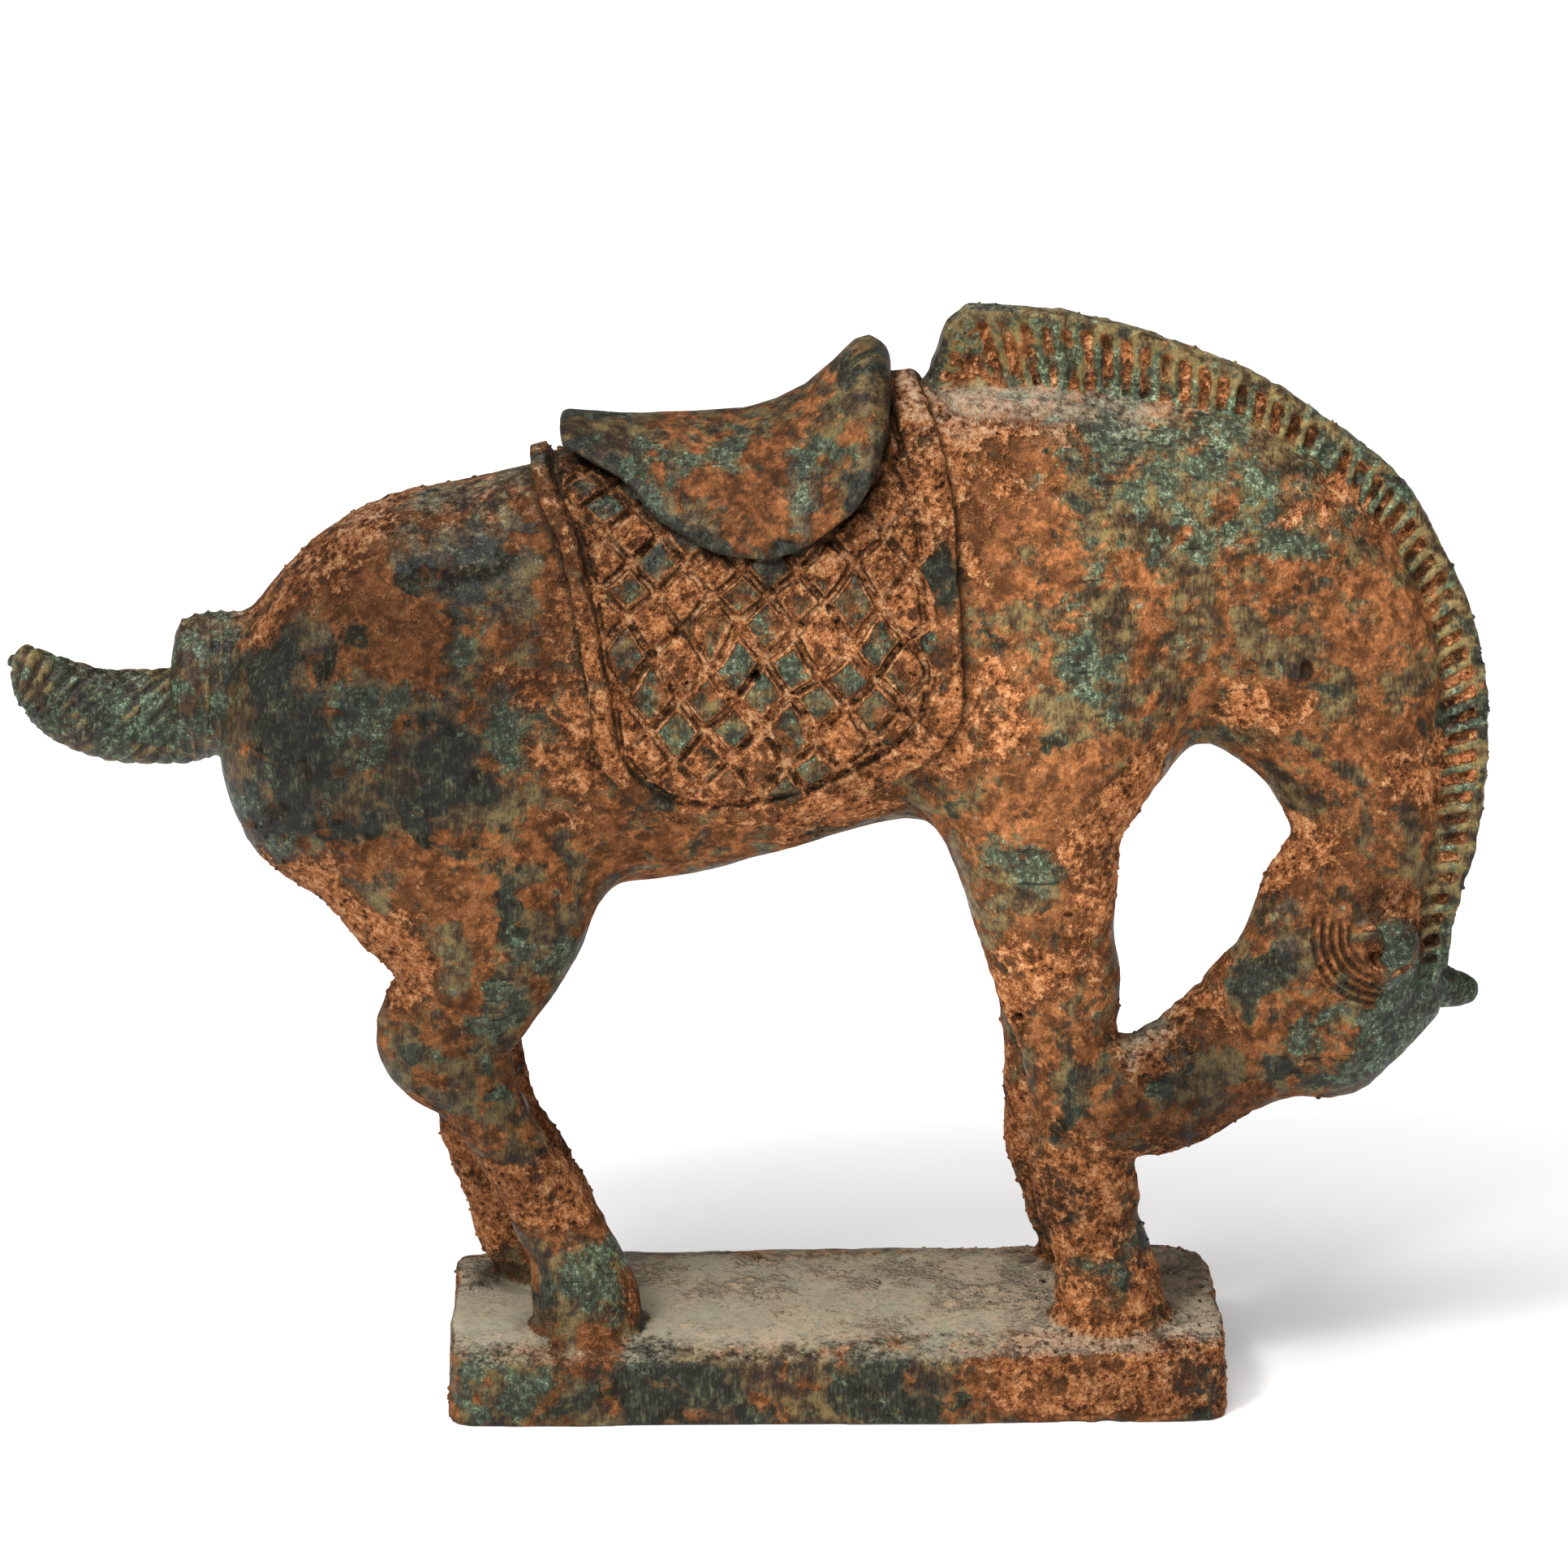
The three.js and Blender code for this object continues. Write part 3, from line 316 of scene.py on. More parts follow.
# %% Stations of the legs
RUMP = [[-131, 16, 190, 42.4, 27], [-116, 19, 182, 42, 26]]
RIGHT_HIND_LEG = [
    [-107, -20, 172, 44.5, 25], [-101.5, -24, 146, 30, 18], [-104, -23, 126, 21, 14],
    [-112.3, -23, 109.5, 19, 12.5], [-105.5, -23, 97.5, 13.6, 11], [-100, -23, 88, 11, 10],
    [-92.5, -23, 74.5, 10.2, 9.5], [-85.5, -23, 63.5, 11.2, 10], [-81, -23, 54, 11.9, 10.5],
    [-76, -23, 44, 12.4, 11.5], [-73, -23, 33, 15, 13.5], [-71, -23, 20, 15, 14.5],
]
LEFT_HIND_LEG = [
    [-105, 19, 172, 42, 25], [-99, 21, 145, 28, 18], [-100, 21, 123, 19, 14],
    [-106, 21, 105, 16.5, 12.5], [-103.5, 21, 89, 13.2, 11], [-100.5, 21, 71, 14.8, 10],
    [-94.5, 21, 57, 16.3, 11], [-90, 21, 47, 17.4, 12], [-87, 21, 38, 17.8, 13], [-80, 21, 28, 15.8, 14],
    [-78, 21, 20, 15.5, 14.5],
]
RIGHT_FORELEG = [
    [56, -16, 226, 37, 24], [56, -20, 196, 33, 23], [55, -22, 175, 26, 21], [57, -22, 157, 22, 19],
    [59.5, -22, 139, 19, 17], [62.8, -22, 125, 17.5, 16], [65, -22, 109, 14, 14], [67, -22, 93, 12.8, 12.5],
    [68, -22, 77, 13.4, 12], [71.1, -22, 62, 15.2, 13], [72.8, -22, 53, 13.6, 12.5],
    [76, -22, 43, 13.8, 13.5], [77.7, -22, 33, 15.4, 15], [79, -22, 20, 16, 15.5],
]
LEFT_FORELEG = [
    [56, 16, 226, 37, 24], [56, 20, 196, 33, 23], [54, 22, 175, 26, 21], [57, 23, 144, 19, 17],
    [60.5, 24, 122, 16, 15], [62, 24, 106, 14.2, 13], [63, 25, 91, 14, 12], [63.4, 26, 76, 13.6, 12],
    [63.6, 27, 60, 13.3, 11.5], [67.3, 28, 48, 12.4, 11.5], [70.2, 29, 38, 13, 12], [75, 30, 28, 14, 13],
    [77, 30, 20, 14, 13.5],
]

# %% Curves through the stations
BODY_BLEND, LEG_BLEND, HEAD_BLEND, FOOT_BLEND, MANE_BLEND, TAIL_BLEND = 12, 4, 7, 6, 3, 4
mirrored_rump = [[x, -y, z, height, width] for x, y, z, height, width in RUMP]
limbs = [
    smooth_line(stations, 6, True)
    for stations in (RUMP, mirrored_rump, RIGHT_HIND_LEG, LEFT_HIND_LEG, RIGHT_FORELEG, LEFT_FORELEG)
]
spine = smooth_line(SPINE, 9, True)
breast = smooth_line(BREAST, 2, True)
head = smooth_line(HEAD, 6, True)
tail_horn = smooth_line(TAIL_HORN, 5, True)
jowl, forehead, tail_wrap, left_ear, right_ear, right_ear_cup, right_ear_hollow = (
    smooth_line(stations, 4, True)
    for stations in (JOWL, FOREHEAD, TAIL_WRAP, LEFT_EAR, RIGHT_EAR, RIGHT_EAR_CUP, RIGHT_EAR_HOLLOW)
)
print("stretches of bar:", sum(len(limb) - 1 for limb in limbs) + len(spine) - 1)

# %% [markdown]
# ## The head
# On the head the founder cut a round cheek plate, a bulging brow with a lid line under it, and folds of
# skin that sweep round the base of the ear. They could be sculpted by hand, but circles drawn in side view
# and added as low heights stay crisp and can be changed by one number. The near ear is a leaf beside a cup,
# with a hollow cut between them; the far one is a plain cone.

# %% Head
CHEEK_X, CHEEK_Z, CHEEK_RADIUS, CHEEK_HEIGHT = 127, 124, 16.5, 1.3
CHEEK_GROOVE = 0.9
FOLD_X, FOLD_Z, FOLD_INNER, FOLD_OUTER, FOLD_PITCH, FOLD_HEIGHT = 154.5, 140.5, 10.0, 23.0, 2.6, 2.0
BROW_X, BROW_Z, BROW_RADIUS, BROW_HEIGHT = 145, 104, 12.5, 2.2
LID_RADIUS, LID_DEPTH = 5.5, 0.8
CHEEK_LINE, LID_LINE = 1.4, 1.2
LEFT_EAR_BLEND, CUP_BLEND, RIGHT_EAR_BLEND = 3, 2, 1
EAR_HOLLOW_REACH = 20


def head_middle(x):
    """y of the head's middle, which moves further to the right towards the muzzle."""
    return -15 - 12 * np.clip((150 - x) / 70, 0, 1)


def face_relief(x, y, z):
    """Height of the carving on the face, and how much of a carved line there is, which is later darkened as
    partly grime and partly painted shade.
    """
    from_cheek = np.hypot(x - CHEEK_X, z - CHEEK_Z)
    toward_muzzle = step_up(CHEEK_X - x + 0.6 * (z - CHEEK_Z), -4, 6)
    cheek = CHEEK_HEIGHT * (1 - step_up(from_cheek, CHEEK_RADIUS - 5, CHEEK_RADIUS)) * toward_muzzle
    cheek_line = np.clip(1 - np.abs(from_cheek - CHEEK_RADIUS) / CHEEK_LINE, 0, 1) * toward_muzzle
    ring = np.hypot(x - FOLD_X, z - FOLD_Z)
    sector = step_up(-0.4 * (x - FOLD_X) - (z - FOLD_Z), 0, 4) * step_up(FOLD_X - x, -1, 3)
    in_ring = step_up(ring, FOLD_INNER - 1, FOLD_INNER)
    in_ring = in_ring * (1 - step_up(ring, FOLD_OUTER - 0.5, FOLD_OUTER + 0.5))
    wave = 0.5 - 0.5 * np.cos(2 * math.pi * (ring - FOLD_INNER) / FOLD_PITCH)
    folds = FOLD_HEIGHT * (np.sqrt(wave) - 0.35) * sector * in_ring
    from_brow = np.hypot(x - BROW_X, z - BROW_Z)
    brow = BROW_HEIGHT * (1 - step_up(from_brow, 0, BROW_RADIUS))
    lid_line = np.clip(1 - np.abs(from_brow - LID_RADIUS) / LID_LINE, 0, 1) * step_up(BROW_Z + 2 - z, 0, 4)
    outer = step_up(np.abs(y - head_middle(x)), 5, 9)
    relief = cheek - CHEEK_GROOVE * cheek_line + folds + brow - LID_DEPTH * lid_line
    line = np.maximum(np.maximum(cheek_line, lid_line), (1 - np.sqrt(wave)) * sector * in_ring)
    return relief * outer, line * outer


def head_distance(points, reach):
    d = bar_distance(head, points, reach)
    d = join_bar(d, jowl, HEAD_BLEND, points)
    return join_bar(d, forehead, HEAD_BLEND, points)


def add_features(d, points):
    """The face relief and the ears, on the form of neck and head together."""
    d = d - face_relief(*points.T)[0]
    d = join_bar(d, left_ear, LEFT_EAR_BLEND, points)
    d = join_bar(d, right_ear_cup, CUP_BLEND, points)
    d = join_bar(d, right_ear, RIGHT_EAR_BLEND, points)
    return np.maximum(d, -bar_distance(right_ear_hollow, points, EAR_HOLLOW_REACH))


# %% [markdown]
# ## The tail
# The tail is docked and bound: a thick wrap of cord, cut off straight, and out of it a horn of twisted
# strands. The turns of cord are heights in even rows along the wrap. The strands are a wave round the horn,
# and because the wave turns as it runs along, the strands wind like those of a rope.

# %% Tail
BINDING_PITCH, BINDING_HEIGHT, CORD_HALF_WIDTH = 3.7, 0.8, 0.9
WRAP_END, WRAP_END_ROUND = -187.5, 6
WRAP_HEIGHT, HORN_HEIGHT = 206, 200
STRAND_COUNT, STRAND_DEPTH, STRAND_TWIST = 14, 1.5, -0.085
TWIST_START = -180
STRAND_BLEND = 1.5


def tail_lines(points):
    """1 on top of a cord of the binding, and 1 on top of a strand of the horn; 0 between them."""
    x, y, z = points.T
    turn = np.arctan2(y, z - WRAP_HEIGHT)
    cord = np.clip(1 - off_line(x + 0.6 * np.sin(2 * turn), BINDING_PITCH) / CORD_HALF_WIDTH, 0, 1)
    twist = np.arctan2(y, z - HORN_HEIGHT) + STRAND_TWIST * (x - TWIST_START)
    return cord, np.abs(np.sin(STRAND_COUNT * twist / 2))


def tail_distance(points, reach):
    cord, strand = tail_lines(points)
    bar = blend_intersection(bar_distance(tail_wrap, points, reach), WRAP_END - points[:, 0], WRAP_END_ROUND)
    wrap = bar - BINDING_HEIGHT * cord
    horn = bar_distance(tail_horn, points, reach) + STRAND_DEPTH / 2 - STRAND_DEPTH * strand
    return blend_union(wrap, horn, STRAND_BLEND)


# %% The bare horse
TRUNK_REACH = 60.0
TAIL_PART, HEAD_PART = -140, 50


def horse_distance(points):
    """The horse without mane and saddle. Legs join each other tightly, and the trunk widely."""
    x = points[:, 0]
    trunk = bar_distance(spine, points, TRUNK_REACH)
    trunk = join_bar(trunk, breast, BODY_BLEND, points)
    legs = trunk + BODY_BLEND
    for limb in limbs:
        legs = join_bar(legs, limb, LEG_BLEND, points)
    d = blend_union(trunk, legs, BODY_BLEND)
    behind, ahead = x < TAIL_PART, x > HEAD_PART
    if behind.any():
        tail = tail_distance(points[behind], d[behind] + TAIL_BLEND)
        d[behind] = blend_union(d[behind], tail, TAIL_BLEND)
    if ahead.any():
        skull = head_distance(points[ahead], d[ahead] + HEAD_BLEND)
        d[ahead] = blend_union(d[ahead], skull, HEAD_BLEND)
        d[ahead] = add_features(d[ahead], points[ahead])
    return d


# %% [markdown]
# ## The mane
# The mane is clipped into a fin along the crest. Its outer rim is plain; below the rim the two faces are
# sunk, and thin slanting strands stand up in the sunk band. The fin is an outline in side view with a
# thickness. Each strand's place is measured along the outline, so the strands fan out where it bends.

# %% Mane
MANE_FRONT = [[26, 300], [30, 311]]
MANE_EDGE = [
    [36, 316], [58, 315], [77, 311.5], [95, 305.5], [113, 298.3], [131, 288.2],
    [150, 274], [160, 265], [169, 250], [176, 236.5], [181.5, 219], [184.6, 199], [184.2, 182], [181, 163],
    [177, 149], [174.5, 138], [173.5, 127], [169, 117],
]
MANE_ROOT = [[158, 122], [150, 180], [140, 215], [110, 250], [60, 270], [20, 270]]
MANE_HALF_WIDTH, MANE_EDGE_ROUND = 4.6, 1.5
LOCK_PITCH, LOCK_HALF_WIDTH, LOCK_DEPTH = 6, 1.0, 2.0
LOCK_RIM, LOCK_SLANT = 3.2, 0.35
mane_outline = np.vstack([smooth_line(MANE_EDGE, 4, False), MANE_ROOT, MANE_FRONT])
mane_edge_length = np.linalg.norm(np.diff(smooth_line(MANE_EDGE, 4, False), axis=0), axis=1).sum()
print("mane:", round(mane_edge_length), "mm of edge,", int(mane_edge_length / LOCK_PITCH), "strands a side")


def neck_middle(z):
    """y of the neck's middle, which leans to the right further down."""
    return -14 * step_up(-z, -225, -142)


def strand_places(x, z):
    """Distance outside the mane's outline, place along its edge, and distance from the nearest strand."""
    edge, along = outline_distance(mane_outline, x, z)
    return edge, along, off_line(along + edge * LOCK_SLANT, LOCK_PITCH)


def mane_distance(points):
    x, y, z = points.T
    edge, along, from_strand = strand_places(x, z)
    sunk = step_up(from_strand, LOCK_HALF_WIDTH, LOCK_HALF_WIDTH + 0.9)
    sunk = sunk * step_up(-edge, LOCK_RIM, LOCK_RIM + 1.2)
    sunk *= step_up(along, 2, 5) * (1 - step_up(along, mane_edge_length - 14, mane_edge_length - 8))
    half_width = MANE_HALF_WIDTH - LOCK_DEPTH * sunk
    return blend_intersection(edge, np.abs(y - neck_middle(z)) - half_width, MANE_EDGE_ROUND)


# %% [markdown]
# ## Saddle cloth and saddle
# The cloth is a quilted pad: a rolled rim runs round it and the field inside is cut into lozenges. The
# lozenges follow the barrel of the body, so the lines are drawn in the distance along the body and the
# distance round it. The saddle is a plain half-moon shell with a crisp rim and a dished seat.

# %% Saddle cloth
CLOTH_OUTLINE = [
    [-89, 320], [-87, 276], [-77.5, 254], [-70, 218], [-66, 196], [-53, 181], [-39, 176], [-23, 175],
    [-7, 178], [6, 183], [18, 190], [28, 199], [34, 212], [33, 240], [31.5, 266], [28, 283], [24, 293],
    [20, 301], [17, 310], [16, 320],
]
RIM_WIDTH_REAR, RIM_WIDTH_FRONT = 5.5, 9.5
RIM_HEIGHT_REAR, RIM_HEIGHT_FRONT = 5.2, 3.2
FIELD_HEIGHT = 2.7
QUILT_PITCH, QUILT_DEPTH, QUILT_WAVER = 11.2, 2.0, 5.0
QUILT_STEEP, QUILT_SHALLOW = math.radians(50), math.radians(42)
PAD_UNEVENNESS = 1.0
GIRTH_RADIUS, GIRTH_CENTRE = 52, 222
cloth_outline = smooth_line(CLOTH_OUTLINE, 4, False)


def quilting(points):
    """Distance from the nearest groove, the height of the pad beside it, and the pad's own number."""
    x, y, z = points.T
    waver = QUILT_WAVER * (lumps(points, 13, 6.6) - 0.5)
    girth = GIRTH_RADIUS * np.arctan2(np.abs(y) * 4 / 3, z - GIRTH_CENTRE) + waver
    steep = x * math.sin(QUILT_STEEP) - girth * math.cos(QUILT_STEEP)
    shallow = x * math.sin(QUILT_SHALLOW) + girth * math.cos(QUILT_SHALLOW)
    row = np.floor(steep / QUILT_PITCH).astype(int)
    column = np.floor(shallow / QUILT_PITCH).astype(int)
    side = (y > 0).astype(int) * 3
    draws = LATTICE[row % LATTICE_SIZE, column % LATTICE_SIZE]
    own, lean_one_way, lean_other_way = (draws[np.arange(len(x)), side + i] for i in range(3))
    lean = (lean_one_way - 0.5) * (steep / QUILT_PITCH - row - 0.5)
    lean += (lean_other_way - 0.5) * (shallow / QUILT_PITCH - column - 0.5)
    from_groove = np.minimum(off_line(steep, QUILT_PITCH), off_line(shallow, QUILT_PITCH))
    return from_groove, PAD_UNEVENNESS * (own - 0.5 + 1.4 * lean), own


def cloth_height(points, inward):
    """How far the cloth stands off the body, by how far inward of its outline a point lies."""
    x = points[:, 0]
    front = step_up(x, -66, -40)
    rim_width = mix(RIM_WIDTH_REAR, RIM_WIDTH_FRONT, step_up(x, -66, 10))
    rim = mix(RIM_HEIGHT_REAR, RIM_HEIGHT_FRONT, front)
    from_groove, pad, _ = quilting(points)
    cut = 1 - step_up(from_groove, 0.6, 1.5)
    sunk_line = np.clip(1 - np.abs(inward - rim_width - 1) / 1.5, 0, 1)
    field = FIELD_HEIGHT + (1 - cut) * pad - QUILT_DEPTH * np.maximum(cut, sunk_line)
    return mix(rim, field, step_up(inward, rim_width - 1.2, rim_width + 0.6))


# %% Saddle
SADDLE_RIM = [
    [-79, 320], [-78, 284], [-73, 278.5], [-61, 272.5], [-52, 264.5], [-43, 259.5], [-34, 256], [-23, 254.5],
    [-14, 256], [-5, 261.5], [4, 269], [9.5, 278], [13, 287.5], [14.7, 298], [14.7, 320],
]
SEAT_LINE = np.array([
    [-80, 286.7], [-60, 285.2], [-40, 285.4], [-26, 286.2], [-17, 289.2], [-9, 293.2], [-1, 300.2],
    [5, 306.2], [9, 307.4], [15, 304],
])
SADDLE_HEIGHT, SADDLE_TOP = 8.5, 22
SADDLE_RIM_ROUND, SADDLE_EDGE_ROUND = 4, 3
SEAT_ROUNDNESS = 62
saddle_outline = smooth_line(SADDLE_RIM, 4, False)


def saddle_distance(points, body):
    """A thick skin over the body, cut by the rim in side view and by the dished seat from above."""
    x, y, z = points.T
    rim, _ = outline_distance(saddle_outline, x, z)
    upward_share = np.cos(np.clip(np.arctan2(np.abs(y), z - GIRTH_CENTRE), 0, math.pi / 2))
    shell = body - mix(SADDLE_HEIGHT, SADDLE_TOP, upward_share ** 3)
    seat = z - np.interp(x, SEAT_LINE[:, 0], SEAT_LINE[:, 1]) + y * y / SEAT_ROUNDNESS
    return blend_intersection(blend_intersection(rim, seat, SADDLE_RIM_ROUND), shell, SADDLE_EDGE_ROUND)


# %% [markdown]
# ## Where the patina changes
# Old bronze shows several coats at once: smooth islands of black-green, verdigris in spots that stayed damp,
# rust-brown earth baked on over most of it, and grey dust on whatever faces up. Where each coat lies follows
# the photograph on the horse's right side, as spots: x, z and radius in millimetres in side view, and for
# the tone also how light the patina is. The tone is partly the patina's own and partly painted light and
# shade: it is lighter on the plinth's top and the shoulder's bulge, and darker on the plinth's front, the
# rump and the muzzle. An image could be painted instead, but spots stay sharp at any distance and need no
# file. The left side isn't in the photograph, so it gets the same spots, moved a little along.

# %% Spots of dark, green and rust
DARK_SPOTS = [
    [-108, 251, 12], [-155, 214, 13], [-147, 195, 12], [-114, 190, 14], [-159, 178, 9], [-135, 177, 6],
    [-87, 150, 6], [-74, 284, 8], [-64, 272, 6], [-53, 263, 5], [-26, 256, 4], [-54, 185, 5], [30, 251, 6],
    [62, 268, 3], [133, 214, 3], [142, 218, 4], [178, 197, 6], [118, 133, 6], [162, 114, 9], [133, 99, 5],
    [-117, 107, 4], [-82, 35, 5], [103, 12, 8], [-54, 10, 15], [-36, 10, 12], [15, 10, 15], [-77, 7, 9],
    [158, 139, 5], [120, 137, 5], [58, 66, 7], [82, 40, 7], [66, 92, 5],
    [-213, 210, 13], [-195, 203, 9], [-139, 228, 7], [-108, 174, 7], [126, 98, 4], [94, 108, 3],
]
GREEN_SPOTS = [
    [80, 279, 12], [101, 273, 14], [128, 257, 11], [70, 219, 10], [67, 244, 7], [51, 161, 9], [-35, 278, 7],
    [-7, 278, 4], [-56, 275, 6], [-101, 230, 6], [-92, 208, 9], [-129, 205, 8], [-84, 137, 8], [-99, 121, 5],
    [75, 46, 8], [-100, 94, 5], [-67, 40, 8], [-195, 202, 8], [158, 130, 7], [154, 116, 6], [141, 111, 5],
    [93, 96, 7], [81, 107, 5], [-97, 12, 8], [56, 303, 6], [-160, 171, 7], [-103, 110, 4], [-2, 174, 4],
    [134, 274, 5], [103, 196, 5], [-17, 218, 4], [-30, 222, 4], [-6, 227, 4], [-40, 239, 3], [153, 260, 7],
]
RUST_SPOTS = [
    [-128, 235, 18], [46, 267, 14], [55, 176, 16], [157, 228, 9], [160, 191, 9], [68, 149, 9],
    [-108, 161, 11], [50, 300, 9], [68, 9, 15], [124, 242, 9], [-30, 268, 8], [-91, 63, 7], [1, 267, 6],
    [121, 119, 8],
]

# %% Spots worn thin, and stretches of lighter or darker tone, partly painted light and shade
WORN_SPOTS = [
    [70, 222, 20], [62, 262, 18], [100, 262, 26], [135, 240, 20], [-130, 205, 32], [-100, 185, 22],
    [-105, 245, 22], [-200, 203, 34], [-165, 208, 14], [110, 97, 16], [146, 128, 6], [170, 112, 14],
    [120, 128, 12], [44, 150, 12], [-92, 128, 12], [-60, 170, 8], [158, 140, 6], [145, 128, 9],
    [-90, 9, 22], [-50, 9, 22], [-10, 9, 22], [30, 9, 14],
]
# x, z, radius and tone of each stretch. The tone is partly the patina's own and partly painted light and
# shade: lighter on the plinth's top and the shoulder's bulge, darker on the plinth's front, the rump and the
# muzzle.
TONE_AND_PAINTED_LIGHT_SPOTS = [
    [-130, 215, 34, 0.38], [-95, 250, 24, 0.54], [-100, 165, 26, 0.88], [-60, 215, 16, 0.9],
    [75, 220, 28, 1.75], [105, 262, 36, 1.45], [165, 215, 26, 1.4], [-30, 268, 34, 0.70],
    [-20, 215, 34, 1.25], [128, 120, 20, 1.1], [98, 98, 18, 0.30], [60, 150, 26, 1.5], [72, 60, 18, 0.62],
    [-95, 85, 34, 0.52], [-195, 203, 26, 0.85], [0, 26, 60, 1.5], [-80, 7, 24, 0.6], [-35, 7, 24, 0.6],
    [10, 7, 24, 0.6], [55, 7, 24, 0.6], [92, 7, 20, 0.7],
]


# %% Reading the spots
LEFT_SIDE_SHIFT = (13, -6)
SPOT_SHAKES = [(14, 22), (5, 9), (2.2, 4)]  # size and strength of each shake
PLAIN_TONE_WEIGHT = 0.15


def spots(points, table):
    """1 in the middle of a spot, 0 at twice its radius. Places are shaken, so that no spot is round."""
    x, y, z = points.T
    x = np.where(y > 0, x - LEFT_SIDE_SHIFT[0], x)
    z = np.where(y > 0, z - LEFT_SIDE_SHIFT[1], z)
    for size, strength in SPOT_SHAKES:
        x = x + strength * (lumps(points, size, 0.4) - 0.5)
        z = z + strength * (lumps(points, size, 7.7) - 0.5)
    total = np.zeros(len(points))
    for spot_x, spot_z, radius in table:
        distance = np.hypot(x - spot_x, z - spot_z) / radius
        total = np.maximum(total, 1 - step_up(distance, 0.0, 2.0))
    return total


def tone_with_painted_light(points):
    """How light the patina is on the whole at each place, 1 where no spot says otherwise. Part of it is
    painted light and shade, such as the plinth's lit top and shaded front.
    """
    x, _, z = points.T
    weight, total = np.full(len(points), PLAIN_TONE_WEIGHT), np.full(len(points), PLAIN_TONE_WEIGHT)
    for spot_x, spot_z, radius, tone_and_light in TONE_AND_PAINTED_LIGHT_SPOTS:
        share = np.exp(-((x - spot_x) ** 2 + (z - spot_z) ** 2) / radius ** 2)
        weight += share
        total += share * tone_and_light
    return total / weight


# %% [markdown]
# ## The whole casting
# Everything is joined here. Horse and plinth flow into each other, and so does the mane, while the saddle
# and its cloth lie on the body with a crisp edge. The parts' own distances are kept, because the crust and
# the patina ask later which part a point is on.

# %% Casting
CLOTH_REACH = 26
CLOTH_EDGE_ROUND = 1.5
# Points outside these bounds can touch neither the mane, nor the cloth and the saddle.
MANE_FROM_X, MANE_FROM_Z, MANE_SIDEWAYS = 15, 115, 40
CLOTH_FROM_X, CLOTH_TO_X, CLOTH_FROM_Z = -95, 40, 165


def casting_parts(points):
    """The plain casting's distance, and the distances of its parts."""
    x, y, z = points.T
    body = horse_distance(points)
    plinth = plinth_distance(points)
    d = blend_union(body, plinth, FOOT_BLEND)
    mane = np.full(len(points), FAR)
    at_mane = (x > MANE_FROM_X) & (z > MANE_FROM_Z) & (np.abs(y) < MANE_SIDEWAYS)
    if at_mane.any():
        mane[at_mane] = mane_distance(points[at_mane])
        d[at_mane] = blend_union(d[at_mane], mane[at_mane], MANE_BLEND)
    horse_only = d.copy()
    cloth = np.full(len(points), FAR)
    saddle = np.full(len(points), FAR)
    cloth_edge = np.full(len(points), FAR)
    at_cloth = (body < CLOTH_REACH) & (x > CLOTH_FROM_X) & (x < CLOTH_TO_X) & (z > CLOTH_FROM_Z)
    if at_cloth.any():
        p = points[at_cloth]
        outline, _ = outline_distance(cloth_outline, p[:, 0], p[:, 2])
        cloth_edge[at_cloth] = outline
        padded = body[at_cloth] - cloth_height(p, -outline)
        cloth[at_cloth] = blend_intersection(padded, outline, CLOTH_EDGE_ROUND)
        saddle[at_cloth] = saddle_distance(p, body[at_cloth])
        d[at_cloth] = np.minimum(d[at_cloth], np.minimum(cloth[at_cloth], saddle[at_cloth]))
    return d, {
        "saddle": saddle, "cloth": cloth, "mane": mane, "plinth": plinth, "body": body, "horse": horse_only,
        "cloth_edge": cloth_edge,
    }


# %% [markdown]
# ## The crust
# Corrosion has swollen and broken the surface. It is added last, as small heights on the finished form:
# broad dents all over, lumps and pits where the patina is thick. The saddle stays nearly smooth, and the
# crust is deep in the quilting and round the hooves. A few single holes are where the photograph shows them.

# %% Crust
def lies_on(distance):
    """1 on a part, 0 from two millimetres off it."""
    return 1 - step_up(distance, 0.5, 2)


def crustiness(points, parts):
    """0 where the metal is worn smooth, 1 where the crust is thick."""
    x, y, z = points.T
    on_cloth = lies_on(parts["cloth"])
    on_rim = step_up(parts["cloth_edge"], -RIM_WIDTH_FRONT, -RIM_WIDTH_REAR)
    on_saddle = lies_on(parts["saddle"])
    on_mane = lies_on(parts["mane"])
    low_foreleg = 0.75 * step_up(x, 40, 55) * (1 - step_up(z, 75, 100))
    patches = step_up(lumps(points, 24, 3.3), 0.36, 0.62)
    crust = (0.2 + 0.6 * patches) * (1 - 0.85 * spots(points, WORN_SPOTS))
    crust = np.maximum(crust, 0.9 * low_foreleg)
    crust = np.maximum(crust, np.maximum(on_cloth * (1 - 0.5 * on_rim), 0.6 * on_mane))
    return crust * (1 - 0.85 * on_saddle)


# Each pit's x and z, half width, half height and depth.
SIDE_PITS = [
    [59.4, 270, 2.2, 1.1, 1.6], [131.3, 216, 1.8, 3.4, 2.4], [51.4, 117.6, 1.0, 1.3, 3.0],
    [-23.5, 222.4, 1.3, 1.3, 4.0], [121, 231, 1.0, 1.4, 1.2], [92, 205, 1.2, 1.0, 1.2],
    [36, 236, 1.3, 1.0, 1.3], [-86, 216, 1.2, 1.2, 1.2], [64, 150, 1.2, 1.0, 1.4], [-43, 235, 3.0, 2.6, 1.6],
]


def side_pits(points):
    """Single holes where the crust has broken out, on the near side only."""
    x, y, z = points.T
    depth = np.zeros(len(points))
    for pit_x, pit_z, half_width, half_height, pit_depth in SIDE_PITS:
        distance = np.hypot((x - pit_x) / half_width, (z - pit_z) / half_height)
        depth = np.maximum(depth, pit_depth * (1 - step_up(distance, 0.6, 1.2)))
    return depth * (y < 0)


